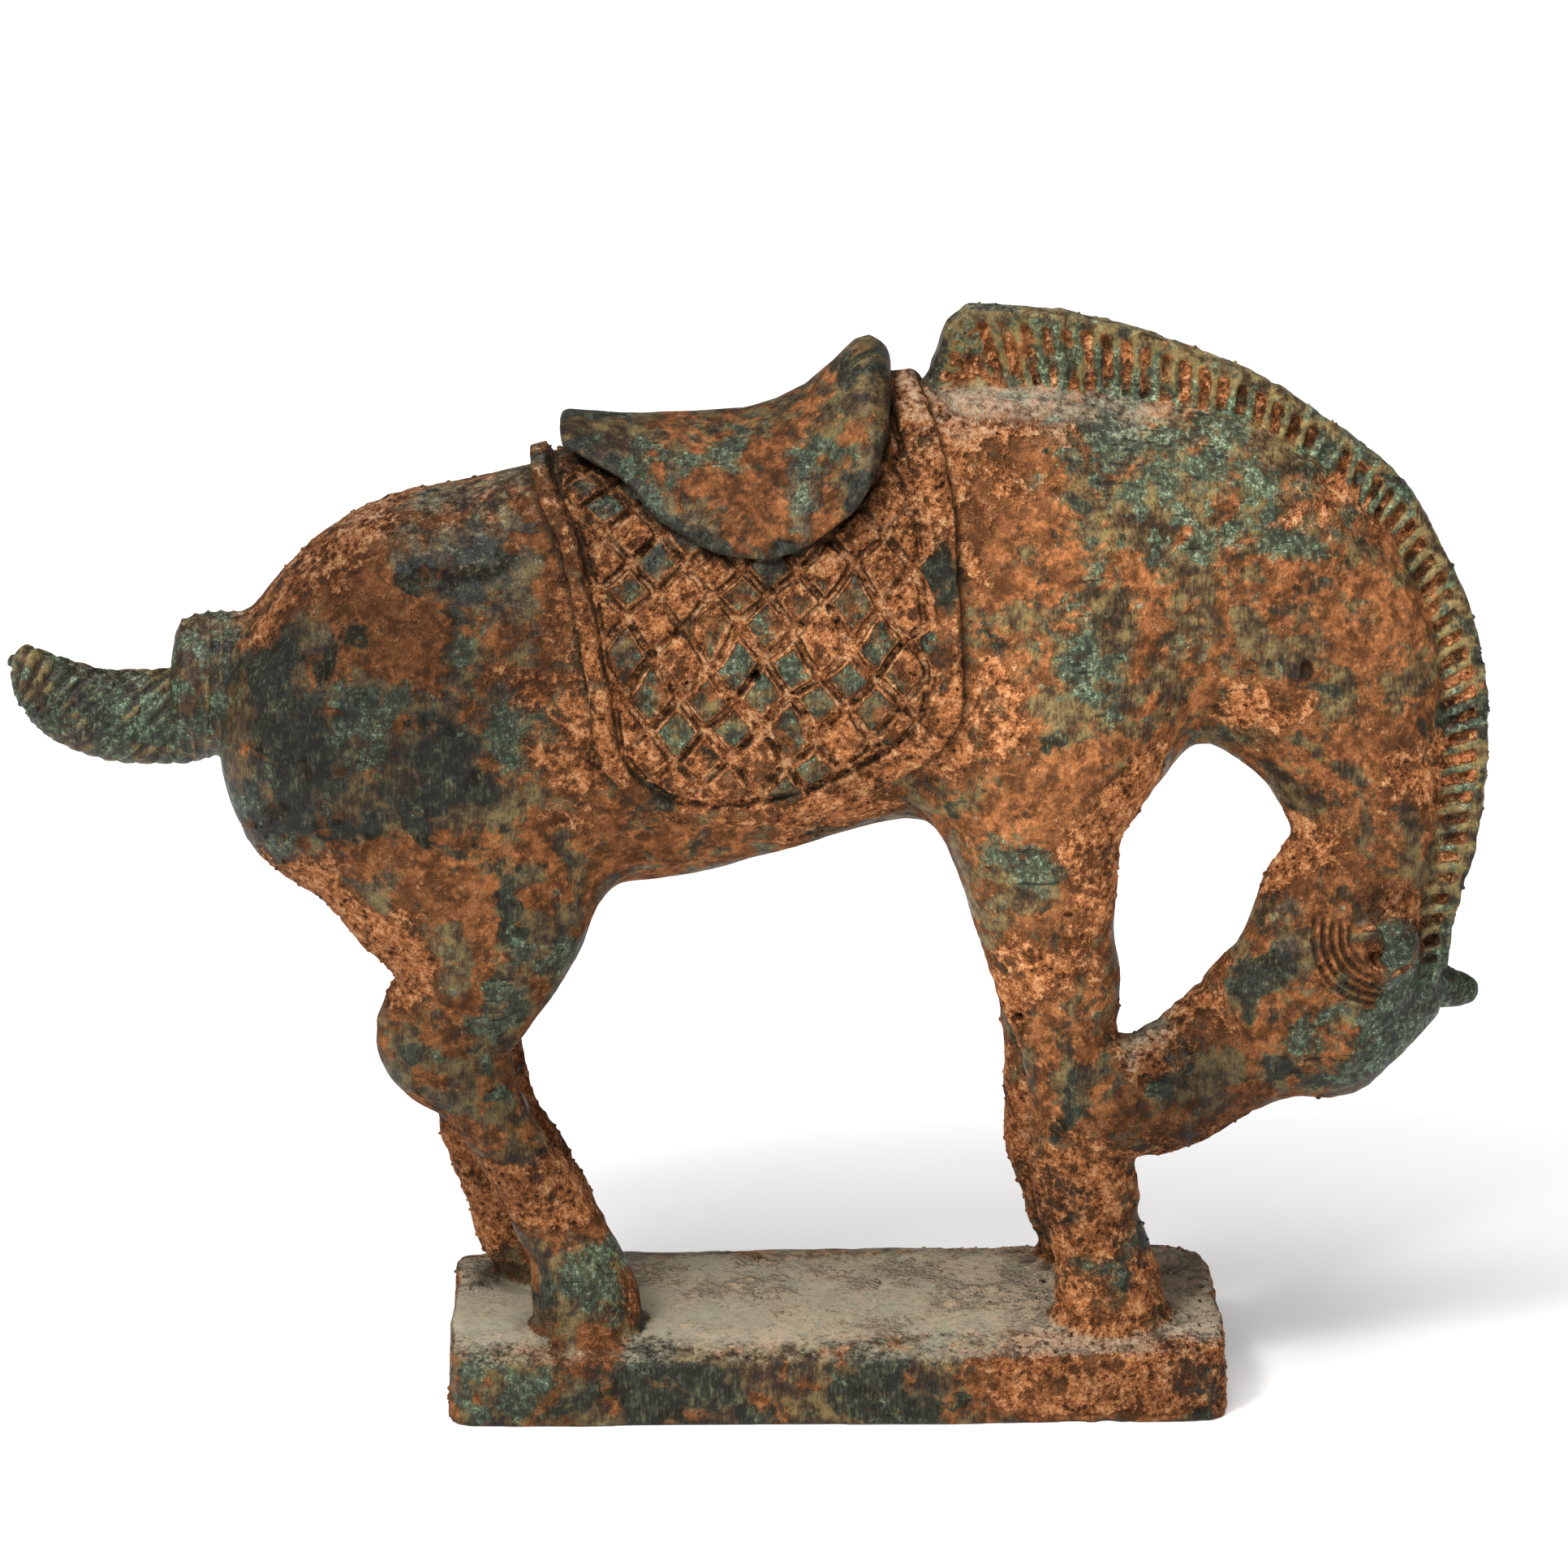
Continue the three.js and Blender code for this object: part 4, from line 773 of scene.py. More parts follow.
def crust_height(points, parts):
    """How far dents, lumps and pits lift or lower the surface, in millimetres."""
    rough = crustiness(points, parts)
    dents = 0.9 * (lumps(points, 15) - 0.5) + 0.4 * (lumps(points, 6.5, 5.1) - 0.5)
    grain = 1.1 * (lumps(points, 3.1, 1.7) - 0.5) + 0.8 * (lumps(points, 1.7, 4.2) - 0.5)
    pits = 1.2 * step_up(lumps(points, 3.3, 8.9), 0.68, 0.84)
    on_pad = lies_on(parts["cloth"]) * step_up(quilting(points)[0], 1.2, 2.2)
    return dents + rough * (1 - 0.6 * on_pad) * (grain - pits) - side_pits(points)


# %% [markdown]
# The casting is laid out as two meshes, because the quilting needs finer triangles than the rest. Both read
# the same function, and the seam between them lies under the cloth, where nobody sees it.

# %% Two meshes of one casting
SUNK_UNDER_CLOTH = 1.5
CLOTH_DEPTH = 3.0
CRUST_REACH = 6


def with_crust(d, points, parts):
    """The distance with the crust on it, which is read only near the surface."""
    near = np.abs(d) < CRUST_REACH
    if near.any():
        near_parts = {name: values[near] for name, values in parts.items()}
        d[near] -= crust_height(points[near], near_parts)
    return d


def horse_skin(points):
    """Body, mane, tail and plinth. Under the cloth the skin lies a little deeper, and stays hidden."""
    _, parts = casting_parts(points)
    hidden = 1 - step_up(np.minimum(parts["cloth"], parts["saddle"]), -2.5, -1)
    return with_crust(parts["horse"] + SUNK_UNDER_CLOTH * hidden, points, parts)


def tack_skin(points):
    """The saddle and its cloth, as a shell that reaches a little way into the body."""
    _, parts = casting_parts(points)
    tack = with_crust(np.minimum(parts["cloth"], parts["saddle"]), points, parts)
    return np.maximum(tack, -parts["body"] - CLOTH_DEPTH)


# %% [markdown]
# ## Laying a surface on the distance function
# The function is read on a fine grid, and one vertex goes into each grid cell that the surface passes
# through. Most of the grid is far from the metal, so it is read coarsely first, and only the blocks that
# the surface can reach are read finely. Block by block also keeps each call small, so that bars far from a
# block can be left out of the sums.

# %% Reading the grid
BLOCK = 4
BATCH = 6
SAFETY = 1.1
FINE_RELIEF = 2.0


def axis_places(*stretches):
    """Grid places along one axis. Each stretch is its start, its end and the step inside it."""
    places = np.concatenate([np.arange(start, end, step) for start, end, step in stretches])
    return places[:len(places) // BLOCK * BLOCK]


def read_grid(distance, axes):
    """The distance at every place of the grid, read finely only in blocks that the surface can reach."""
    counts = [len(places) for places in axes]
    blocks = np.array(counts) // BLOCK
    values = np.empty(counts, np.float32)
    inner = np.stack(np.meshgrid(*[np.arange(BLOCK)] * 3, indexing="ij"), -1).reshape(-1, 3)

    def place(cells):
        return np.stack([places[cells[:, i]] for i, places in enumerate(axes)], 1)

    read = 0
    for batch in np.ndindex(*np.ceil(blocks / BATCH).astype(int)):
        first = np.array(batch) * BATCH
        last = np.minimum(first + BATCH, blocks)
        which = np.stack(np.meshgrid(*[np.arange(a, b) for a, b in zip(first, last)], indexing="ij"), -1)
        which = which.reshape(-1, 3) * BLOCK
        corner, opposite = place(which), place(which + BLOCK - 1)
        middle = distance((corner + opposite) / 2)
        near = np.abs(middle) < SAFETY * np.linalg.norm(opposite - corner, axis=1) / 2 + FINE_RELIEF
        cells = which[:, None, :] + inner
        x, y, z = cells.reshape(-1, 3).T
        values[x, y, z] = np.repeat(middle, BLOCK ** 3)
        if near.any():
            fine = cells[near].reshape(-1, 3)
            values[fine[:, 0], fine[:, 1], fine[:, 2]] = distance(place(fine))
            read += len(fine)
    print("grid", counts, "points read finely:", read)
    return values


def underside_cut(values, heights):
    """The casting stops at a flat underside, z = 0."""
    return np.maximum(values, -heights[None, None, :]).astype(np.float32)


# %% [markdown]
# Where metal meets metal only across a diagonal of the grid, the surface would pinch to a single line. One
# more corner is made metal there, until no such place is left, and the surface stays a clean closed skin.

# %% Filling pinches
BARELY_INSIDE = -0.01
MOST_ROUNDS = 12


def fill_pinches(values):
    for _ in range(MOST_ROUNDS):
        found = 0
        for p, q in ((0, 1), (1, 2), (0, 2)):
            def part(i, j):
                pick = [slice(None, -1)] * 3
                pick[p] = slice(i, values.shape[p] - 1 + i)
                pick[q] = slice(j, values.shape[q] - 1 + j)
                return tuple(pick)
            corners = [part(0, 0), part(1, 0), part(1, 1), part(0, 1)]
            a, b, c, d = [values[corner] > 0 for corner in corners]
            pinched = (a == c) & (b == d) & (a != b)
            where = np.argwhere(pinched)
            found += len(where)
            for i, j, k in where:
                square = []
                for di, dj in ((0, 0), (1, 0), (1, 1), (0, 1)):
                    at = [i, j, k]
                    at[p] += di
                    at[q] += dj
                    square.append(tuple(at))
                open_corners = [at for at in square if values[at] > 0]
                if open_corners:
                    values[min(open_corners, key=lambda at: values[at])] = BARELY_INSIDE
        if found == 0:
            break
    print("pinches left:", found)
    return values


# %% Laying the surface
def lay_surface(values, axes):
    """One vertex in each grid cell that the surface crosses, one quad across each crossed grid edge.

    A vertex lies in the middle of the places where the surface cuts its cell's edges.
    """
    outside = values > 0
    corner_offsets = [(a, b, c) for c in (0, 1) for b in (0, 1) for a in (0, 1)]
    nx, ny, nz = values.shape
    stack = [
        outside[a:nx - 1 + a, b:ny - 1 + b, c:nz - 1 + c] for a, b, c in corner_offsets
    ]
    count = np.zeros((nx - 1, ny - 1, nz - 1), np.int8)
    for corner in stack:
        count += corner
    cells = np.argwhere((count > 0) & (count < 8))
    number = np.full((nx - 1, ny - 1, nz - 1), -1, np.int64)
    number[tuple(cells.T)] = np.arange(len(cells))
    depth = [values[cells[:, 0] + a, cells[:, 1] + b, cells[:, 2] + c] for a, b, c in corner_offsets]
    total = np.zeros((len(cells), 3))
    crossed = np.zeros(len(cells))
    for i, first in enumerate(corner_offsets):
        for axis in range(3):
            if first[axis] == 1:
                continue
            second = list(first)
            second[axis] = 1
            j = corner_offsets.index(tuple(second))
            cut = (depth[i] > 0) != (depth[j] > 0)
            t = np.where(cut, depth[i] / np.where(cut, depth[i] - depth[j], 1), 0)
            spot = np.array(first, float) + np.eye(3)[axis] * t[:, None]
            total += spot * cut[:, None]
            crossed += cut
    share = total / crossed[:, None]
    vertices = np.stack([
        mix(places[cells[:, i]], places[cells[:, i] + 1], share[:, i]) for i, places in enumerate(axes)
    ], 1)

    quads = []
    inner = outside[1:-1, 1:-1, 1:-1]
    for axis in range(3):
        pick = [slice(1, -1)] * 3
        pick[axis] = slice(2, None)
        ahead = outside[tuple(pick)]
        edges = np.argwhere(inner != ahead) + 1
        out = outside[tuple(edges.T)]
        u, v = [other for other in range(3) if other != axis]
        ring = []
        for du, dv in ((1, 1), (0, 1), (0, 0), (1, 0)):
            at = edges.copy()
            at[:, u] -= du
            at[:, v] -= dv
            ring.append(number[tuple(at.T)])
        ring = np.stack(ring, 1)
        flip = out if axis != 1 else ~out
        quads.append(np.where(flip[:, None], ring[:, ::-1], ring))
    return vertices, np.vstack(quads)


# %% [markdown]
# ## From grid to mesh
# The grid gives small squares everywhere, even where nothing is carved. Decimate joins them where the
# surface is nearly flat and keeps them in the folds, locks and quilting, which brings each mesh under
# 200,000 triangles without softening what has been cut. The saddle and its cloth get a finer grid than
# the rest, because the quilting and the crust in it are the finest work on the horse, and so does the
# head.

# %% From places and faces to objects
def mesh_object(name, points, faces):
    mesh = bpy.data.meshes.new(name)
    mesh.from_pydata((points / 1000).tolist(), [], faces.tolist())
    mesh.update()
    made = bpy.data.objects.new(name, mesh)
    bpy.context.collection.objects.link(made)
    return made


def applied(made, name):
    """The object's mesh with its modifiers worked in, as a new plain object."""
    depsgraph = bpy.context.evaluated_depsgraph_get()
    mesh = bpy.data.meshes.new_from_object(made.evaluated_get(depsgraph))
    mesh.name = name
    plain = bpy.data.objects.new(name, mesh)
    bpy.context.collection.objects.link(plain)
    bpy.data.objects.remove(made)
    return plain


# %% Cast the two meshes
COARSE, MIDDLE, FINE = 1.2, 0.9, 0.75
HORSE_TRIANGLES, TACK_TRIANGLES = 194000, 175000


def cast_piece(name, distance, axes, triangles):
    values = fill_pinches(underside_cut(read_grid(distance, axes), axes[2]))
    vertices, quads = lay_surface(values, axes)
    rough_piece = mesh_object("rough_" + name, vertices, quads)
    thinning = rough_piece.modifiers.new("thinning", "DECIMATE")
    thinning.ratio = min(1, triangles / (2 * len(quads)))
    thinning.use_collapse_triangulate = True
    piece = applied(rough_piece, name)
    piece.data.polygons.foreach_set("use_smooth", np.ones(len(piece.data.polygons), bool))
    print(name, "from", 2 * len(quads), "to", len(piece.data.polygons), "triangles")
    return piece


horse = cast_piece("bronze_horse", horse_skin, [
    axis_places((-240, -150, MIDDLE), (-150, 106, COARSE), (106, 195, FINE)),
    axis_places((-58, 58, MIDDLE)),
    axis_places((-8, 92, COARSE), (92, 152, FINE), (152, 326, COARSE)),
], HORSE_TRIANGLES)
tack = cast_piece("saddle_and_cloth", tack_skin, [
    axis_places((-98, 44, FINE)),
    axis_places((-56, 56, FINE)),
    axis_places((166, 322, FINE)),
], TACK_TRIANGLES)
pieces = [horse, tack]

# %% [markdown]
# ## How the patina is told where to lie
# Dirt gathers in hollows and wears off ridges. To find out which is which, the distance function is asked
# again at two steps off the surface: on open ground the answer is as far as was stepped, in a groove it is
# less, because the far wall is near. These answers and the places of the carved lines are written on the
# vertices as attributes, which a material can read.
# Shade falls in the same hollows, so the dark brown painted in them later is partly grime and partly painted
# shade.

# %% Reading and writing vertices
def give_attribute(mesh, name, values):
    attribute = mesh.attributes.new(name, "FLOAT", "POINT")
    attribute.data.foreach_set("value", np.ascontiguousarray(values, np.float32))


def read_vertices(mesh):
    places = np.empty(len(mesh.vertices) * 3)
    mesh.vertices.foreach_get("co", places)
    normals = np.empty(len(mesh.vertices) * 3)
    mesh.vertex_normals.foreach_get("vector", normals)
    return places.reshape(-1, 3) * 1000, normals.reshape(-1, 3)


# %% What each vertex lies on
HOLLOW_REACH, SHELTER_REACH = 3.0, 14.0
ON_PARTS = ("saddle", "cloth", "mane", "plinth")
ANSWERS = (
    "crust", "on_saddle", "on_cloth", "on_mane", "on_plinth", "from_groove", "pad_number", "in_field",
    "below_rim", "from_strand", "face_line", "in_saddle", "cord", "tail_strand",
)


def in_batches(points, work, size=12000):
    """Runs work on points that are sorted into slices along the body, so that far bars can be left out."""
    order = np.lexsort((points[:, 2] // 30, points[:, 0] // 20))
    result = None
    for start in range(0, len(points), size):
        picked = order[start:start + size]
        part = work(points[picked])
        if result is None:
            result = np.empty((len(points), *part.shape[1:]))
        result[picked] = part
    return result


def read_answers(points):
    """One column for each name in ANSWERS."""
    _, parts = casting_parts(points)
    on_parts = [1 - step_up(parts[name], 0.4, 1.6) for name in ON_PARTS]
    from_groove, _, pad_number = quilting(points)
    in_field = step_up(-parts["cloth_edge"], RIM_WIDTH_REAR, RIM_WIDTH_FRONT)
    mane_edge, _, from_strand = strand_places(points[:, 0], points[:, 2])
    face_line = face_relief(*points.T)[1]
    in_saddle = -outline_distance(saddle_outline, points[:, 0], points[:, 2])[0]
    cord, tail_strand = tail_lines(points)
    return np.stack([
        crustiness(points, parts), *on_parts, from_groove, pad_number, in_field, -mane_edge, from_strand,
        face_line, in_saddle, cord, tail_strand,
    ], 1)


def surroundings(places, normals):
    """What the distance function says at and around each vertex, by name."""
    found = dict(zip(ANSWERS, in_batches(places, read_answers).T))
    for name, reach in (("hollow", HOLLOW_REACH), ("shelter", SHELTER_REACH)):
        found[name] = 1 - in_batches(places + normals * reach, lambda p: casting_parts(p)[0]) / reach
    return found


# %% Where the coats lie
WITHERS_X = 55


def coat_marks(places, normals, found):
    """The named spots, the crust, the hollows, and dust on what faces up."""
    x, y, z = places.T
    on_saddle, on_mane, on_plinth = found["on_saddle"], found["on_mane"], found["on_plinth"]
    on_withers = (1 - step_up(np.abs(x - WITHERS_X), 25, 65)) * (1 - on_saddle) * (1 - on_mane)
    bare_strip = step_up(np.abs(y + 2) + 9 * (lumps(places, 17, 2.1) - 0.5), 28, 38)
    on_top = on_plinth * (1.15 - 0.6 * bare_strip)
    dust_share = np.maximum(0.45 * (1 - on_saddle) * (1 - on_plinth), np.maximum(on_top, 0.8 * on_withers))
    saddle_edge = on_saddle * (1 - step_up(found["in_saddle"] + 5 * (lumps(places, 9) - 0.5), 2, 8))
    return {
        "dark": np.maximum(spots(places, DARK_SPOTS), 0.7 * saddle_edge),
        "green": spots(places, GREEN_SPOTS),
        "rust": spots(places, RUST_SPOTS),
        "tone_and_light": tone_with_painted_light(places) * (1 + 0.25 * on_mane),
        "crust": found["crust"] * step_up(z, 1, 3),
        "hollow": np.clip(found["hollow"], -0.5, 1),
        "shelter": np.clip(found["shelter"], 0, 1),
        "dust": step_up(normals[:, 2], 0.35, 0.95) * dust_share,
    }


# %% Where the carving shows
CLOTH_MIDDLE_X, CLOTH_MIDDLE_Z = -15, 216
EAR_X, EAR_Z = 156.5, 141.5
TAIL_START, TAIL_FULL = -166, -174


def quilt_marks(places, found):
    """Grooves and pads of the saddle cloth. More pads are rubbed bare in the middle of the cloth."""
    x, _, z = places.T
    from_middle = np.hypot(x - CLOTH_MIDDLE_X, z - CLOTH_MIDDLE_Z)
    on_cloth = found["on_cloth"] * found["in_field"] * (1 - found["on_saddle"])
    bare_pad = step_up(found["pad_number"] + 0.5 * (1 - step_up(from_middle, 10, 48)), 0.62, 0.80)
    on_pad = on_cloth * step_up(found["from_groove"], 1.0, 2.4)
    return {
        "groove": on_cloth * (1 - step_up(found["from_groove"], 0.9, 2.0)),
        "pad": on_pad * (0.45 + 0.55 * bare_pad),
        "bare_pad": on_pad * bare_pad,
    }


def hair_and_face_marks(places, found):
    """Strands of mane and tail, lines on the face, and what is rubbed bare: ear, forelock, tail."""
    x, y, z = places.T
    near_ear = (1 - step_up(np.hypot(x - EAR_X, z - EAR_Z), 6, 8)) * step_up(-y, 31, 34)
    forelock = step_up(x - 0.5 * (z - 124), 153, 158) * (1 - step_up(z, 130, 134))
    on_tail = step_up(-x, -TAIL_START, -TAIL_FULL)
    in_wrap = step_up(x, WRAP_END, WRAP_END + 1)
    tail_groove = on_tail * (1 - in_wrap) * (1 - step_up(found["tail_strand"], 0.15, 0.5))
    return {
        "bare": np.maximum(np.maximum(near_ear, forelock * (z > 90)), 0.8 * on_tail),
        "tail_top": on_tail * mix(step_up(found["tail_strand"], 0.3, 0.8), found["cord"], in_wrap),
        "strand": found["on_mane"] * (1 - step_up(found["from_strand"], 0.6, 1.6)),
        "mane_rim": found["on_mane"] * (1 - step_up(found["below_rim"], 2.4, 3.8)),
        "carved_line": np.maximum(found["face_line"] * step_up(x, 105, 112), tail_groove),
    }


# %% Write the marks on both meshes
for piece in pieces:
    places, normals = read_vertices(piece.data)
    found = surroundings(places, normals)
    mesh_marks = coat_marks(places, normals, found)
    mesh_marks.update(quilt_marks(places, found))
    mesh_marks.update(hair_and_face_marks(places, found))
    for name, values in mesh_marks.items():
        give_attribute(piece.data, name, values)
    print(piece.name, "hollow share:", round(float((found["hollow"] > 0.3).mean()), 3))

# %% [markdown]
# ## Node helpers
# A material is a tree of nodes. These few helpers keep the tree readable as text: most of them return the
# socket that the next line uses. Everything is read from Object coordinates and from the attributes above,
# so the pattern stays on the metal whatever the camera does.

# %% Sockets, places and patterns
def feed(tree, socket, value):
    """Links a socket to another one, or sets it to a plain value."""
    if isinstance(value, bpy.types.NodeSocket):
        tree.links.new(value, socket)
    else:
        socket.default_value = value


def add_node(tree, kind, inputs, **settings):
    """A new node, with its settings made first and then each input linked or set."""
    node = tree.nodes.new(kind)
    for name, value in settings.items():
        setattr(node, name, value)
    for name, value in inputs.items():
        feed(tree, node.inputs[name], value)
    return node


def place_on_object(tree, stretch=(1, 1, 1), turn=(0, 0, 0)):
    place = add_node(tree, "ShaderNodeTexCoord", {}).outputs["Object"]
    mapping = add_node(tree, "ShaderNodeMapping", {"Vector": place, "Scale": stretch, "Rotation": turn})
    return mapping.outputs["Vector"]


def noise(tree, place, millimetres, detail, roughness, distortion, seed):
    return add_node(tree, "ShaderNodeTexNoise", {
        "Vector": place, "W": seed, "Scale": 1000 / millimetres, "Detail": detail,
        "Roughness": roughness, "Distortion": distortion,
    }, noise_dimensions="4D").outputs["Fac"]


def attribute(tree, name):
    return add_node(tree, "ShaderNodeAttribute", {}, attribute_name=name).outputs["Fac"]


# %% Sums and colours
def calculate(tree, operation, a, b=0.0):
    return add_node(tree, "ShaderNodeMath", {0: a, 1: b}, operation=operation).outputs[0]


def weighted(tree, marks, **weights):
    """Sum of the named marks, each times its weight."""
    total = 0.0
    for name, weight in weights.items():
        total = calculate(tree, "ADD", calculate(tree, "MULTIPLY", marks[name], weight), total)
    return total


def climb(tree, value, start, end, low=0.0, high=1.0):
    """From low to high while the value goes from start to end. Close together they give a crisp edge."""
    return add_node(tree, "ShaderNodeMapRange", {
        "Value": value, "From Min": start, "From Max": end, "To Min": low, "To Max": high,
    }, interpolation_type="SMOOTHSTEP").outputs["Result"]


def coat(tree, amount, under, over):
    """One colour over another. Each is a socket or a plain colour of three numbers."""
    under, over = (c if isinstance(c, bpy.types.NodeSocket) else (*c, 1) for c in (under, over))
    inputs = {"Factor": amount, 6: under, 7: over}
    return add_node(tree, "ShaderNodeMix", inputs, data_type="RGBA").outputs[2]


def shaded(tree, colour, brightness):
    """A colour made lighter or darker by a socket."""
    scaling = {0: colour, "Scale": brightness}
    return add_node(tree, "ShaderNodeVectorMath", scaling, operation="SCALE").outputs[0]


def blend_value(tree, amount, under, over):
    """One number over another."""
    return add_node(tree, "ShaderNodeMix", {"Factor": amount, 2: under, 3: over}).outputs[0]


# %% [markdown]
# ## The patina
# The coats are painted one over another in the order in which they formed: brown metal, rust-brown stain,
# dark smooth patina, verdigris, granular crust, and dust last. Each coat's edge is broken up by noise of
# several sizes, because corrosion creeps along the grain of the metal and never stops in a clean line. All
# that the coats are mixed from is kept by name: the noises, and the attributes on the mesh.

# %% Patina colours
DARK_BROWN = (0.026, 0.016, 0.008)
BROWN = (0.085, 0.048, 0.020)
OLIVE = (0.170, 0.124, 0.046)
BLACK_GREEN = (0.012, 0.012, 0.008)
SLATE_GREEN = (0.036, 0.045, 0.028)
VERDIGRIS = (0.082, 0.122, 0.074)
PALE_VERDIGRIS = (0.260, 0.345, 0.225)
DEEP_RUST = (0.115, 0.044, 0.015)
RUST = (0.258, 0.090, 0.031)
BRIGHT_RUST = (0.440, 0.172, 0.062)
CRUST = (0.500, 0.300, 0.155)
DUST = (0.445, 0.395, 0.285)
PIT = (0.014, 0.008, 0.004)

# %% Patterns by name: size in millimetres, detail, roughness, distortion
PATTERNS = {
    "patches": (15, 6, 0.62, 0.6),
    "green_patches": (8, 6, 0.70, 0.4),
    "rust_patches": (12, 6, 0.64, 0.6),
    "mottle": (4.5, 4, 0.66, 0.0),
    "grain": (1.5, 3, 0.62, 0.0),
    "fine_grain": (0.6, 2, 0.6, 0.0),
    "scratches": (0.7, 3, 0.62, 0.0),
    "veins": (9, 3, 0.55, 1.2),
    "scores": (1.6, 2, 0.5, 0.0),
}
UPRIGHT = (1.0, 1.0, 0.14), (0.0, 0.0, 0.0)
SLANTING = (0.05, 1.0, 1.0), (0.0, math.radians(-20), 0.0)


def patina_marks(tree):
    """All that the coats are mixed from. Scratches run up and down, scores slant along the neck."""
    everywhere = place_on_object(tree)
    drawn_out = {"scratches": place_on_object(tree, *UPRIGHT), "scores": place_on_object(tree, *SLANTING)}
    found = {name: attribute(tree, name) for name in mesh_marks}
    for seed, (name, pattern) in enumerate(PATTERNS.items(), 1):
        found[name] = noise(tree, drawn_out.get(name, everywhere), *pattern, seed)
    return found


# %% [markdown]
# Where hands and cloths have worn it, the metal is brown, and olive on what stands up. The stain over it is
# a thin film of iron-rich earth with a crisp edge and fine pale veins. A vein is where a noise passes
# through its middle value, which always gives thin closed lines.

# %% Worn metal and rust stain
def worn_metal(tree, marks):
    """Brown to olive, brushed up and down."""
    marks["brushed"] = weighted(tree, marks, mottle=0.4, scratches=0.25, patches=0.35)
    colour = coat(tree, climb(tree, marks["brushed"], 0.40, 0.52), DARK_BROWN, BROWN)
    lit = weighted(tree, marks, brushed=1.0, strand=0.08, tail_top=0.10, bare=-0.08)
    return coat(tree, climb(tree, lit, 0.46, 0.58), colour, OLIVE)


def rust_stain(tree, marks, colour):
    """Smooth rust-brown film with thin pale veins."""
    edge = weighted(
        tree, marks, rust_patches=1.0, rust=0.14, crust=0.12, dark=-0.10, green=-0.12, bare_pad=-0.14,
        groove=0.15, strand=-0.20, mane_rim=-0.16, grain=0.14, scratches=0.12, bare=-0.25,
    )
    marks["film"] = climb(tree, edge, 0.61, 0.68, 0.0, 0.9)
    earth = coat(tree, climb(tree, marks["mottle"], 0.40, 0.60), DEEP_RUST, RUST)
    specks = weighted(tree, marks, grain=0.6, mottle=0.4)
    earth = coat(tree, climb(tree, specks, 0.53, 0.62, 0.0, 0.5), earth, BRIGHT_RUST)
    from_middle = calculate(tree, "ABSOLUTE", calculate(tree, "SUBTRACT", marks["veins"], 0.5))
    marks["vein"] = climb(tree, from_middle, 0.012, 0.0, 0.0, 0.5)
    earth = coat(tree, marks["vein"], earth, BRIGHT_RUST)
    return coat(tree, marks["film"], colour, earth)


# %% [markdown]
# Smooth black-green islands lie over the stain. Verdigris grows over and between them as fine specks,
# densest where water stood, and scores run through it. Specks are a fine noise cut off sharply, not a flat
# green, so that the dark ground shows between them as it does on the real one.

# %% Black-green islands and verdigris
def black_green_islands(tree, marks, colour):
    edge = weighted(
        tree, marks, patches=1.0, dark=0.20, rust=-0.08, groove=-0.1, mane_rim=0.08, bare=0.12,
        tail_top=-0.10, bare_pad=0.04, grain=0.16, scratches=0.14,
    )
    marks["darkness"] = climb(tree, edge, 0.735, 0.79, 0.0, 0.95)
    rubbed = weighted(tree, marks, scratches=0.45, grain=0.25, mottle=0.3)
    worn = coat(tree, climb(tree, rubbed, 0.47, 0.58), BLACK_GREEN, SLATE_GREEN)
    worn = coat(tree, climb(tree, rubbed, 0.54, 0.64, 0.0, 0.6), worn, OLIVE)
    return coat(tree, marks["darkness"], colour, worn)


def green_specks(tree, marks, colour):
    edge = weighted(
        tree, marks, green_patches=1.0, green=0.22, bare_pad=0.09, strand=0.10, groove=-0.1, grain=0.15,
        bare=0.14,
    )
    speckle = weighted(tree, marks, grain=0.5, scratches=0.3, mottle=0.2)
    pale = weighted(tree, marks, fine_grain=0.45, grain=0.3, mottle=0.25)
    copper_green = coat(tree, climb(tree, speckle, 0.46, 0.58), SLATE_GREEN, VERDIGRIS)
    copper_green = coat(tree, climb(tree, pale, 0.54, 0.62, 0.0, 0.9), copper_green, PALE_VERDIGRIS)
    colour = coat(tree, climb(tree, edge, 0.66, 0.74, 0.0, 0.85), colour, copper_green)
    score = climb(tree, marks["scores"], 0.63, 0.67, 0.0, 0.8)
    marks["scored"] = calculate(tree, "MULTIPLY", score, climb(tree, marks["green"], 0.1, 0.5))
    return coat(tree, marks["scored"], colour, BLACK_GREEN)


# %% [markdown]
# The crust is burial earth baked into grains. It lies thickest where the mesh is rough too, because both
# follow the same function. The grains go from deep rust between them to pale tan on their tops.

# %% Granular crust
def granular_crust(tree, marks, colour):
    zone = weighted(
        tree, marks, crust=0.32, rust_patches=0.5, mottle=0.3, grain=0.2, groove=0.16, pad=-0.24,
        dark=-0.08, green=-0.04, strand=-0.22, mane_rim=-0.25, carved_line=-0.2, bare=-0.35,
    )
    marks["cake"] = climb(tree, zone, 0.62, 0.74)
    marks["granules"] = weighted(tree, marks, grain=0.6, fine_grain=0.4)
    marks["clods"] = weighted(tree, marks, granules=0.6, mottle=0.4)
    caked = coat(tree, climb(tree, marks["clods"], 0.38, 0.48), DEEP_RUST, RUST)
    caked = coat(tree, climb(tree, marks["clods"], 0.45, 0.57), caked, BRIGHT_RUST)
    tops = weighted(tree, marks, clods=1.0, groove=0.04)
    caked = coat(tree, climb(tree, tops, 0.52, 0.62, 0.0, 0.85), caked, CRUST)
    return coat(tree, calculate(tree, "MULTIPLY", marks["cake"], 0.92), colour, caked)


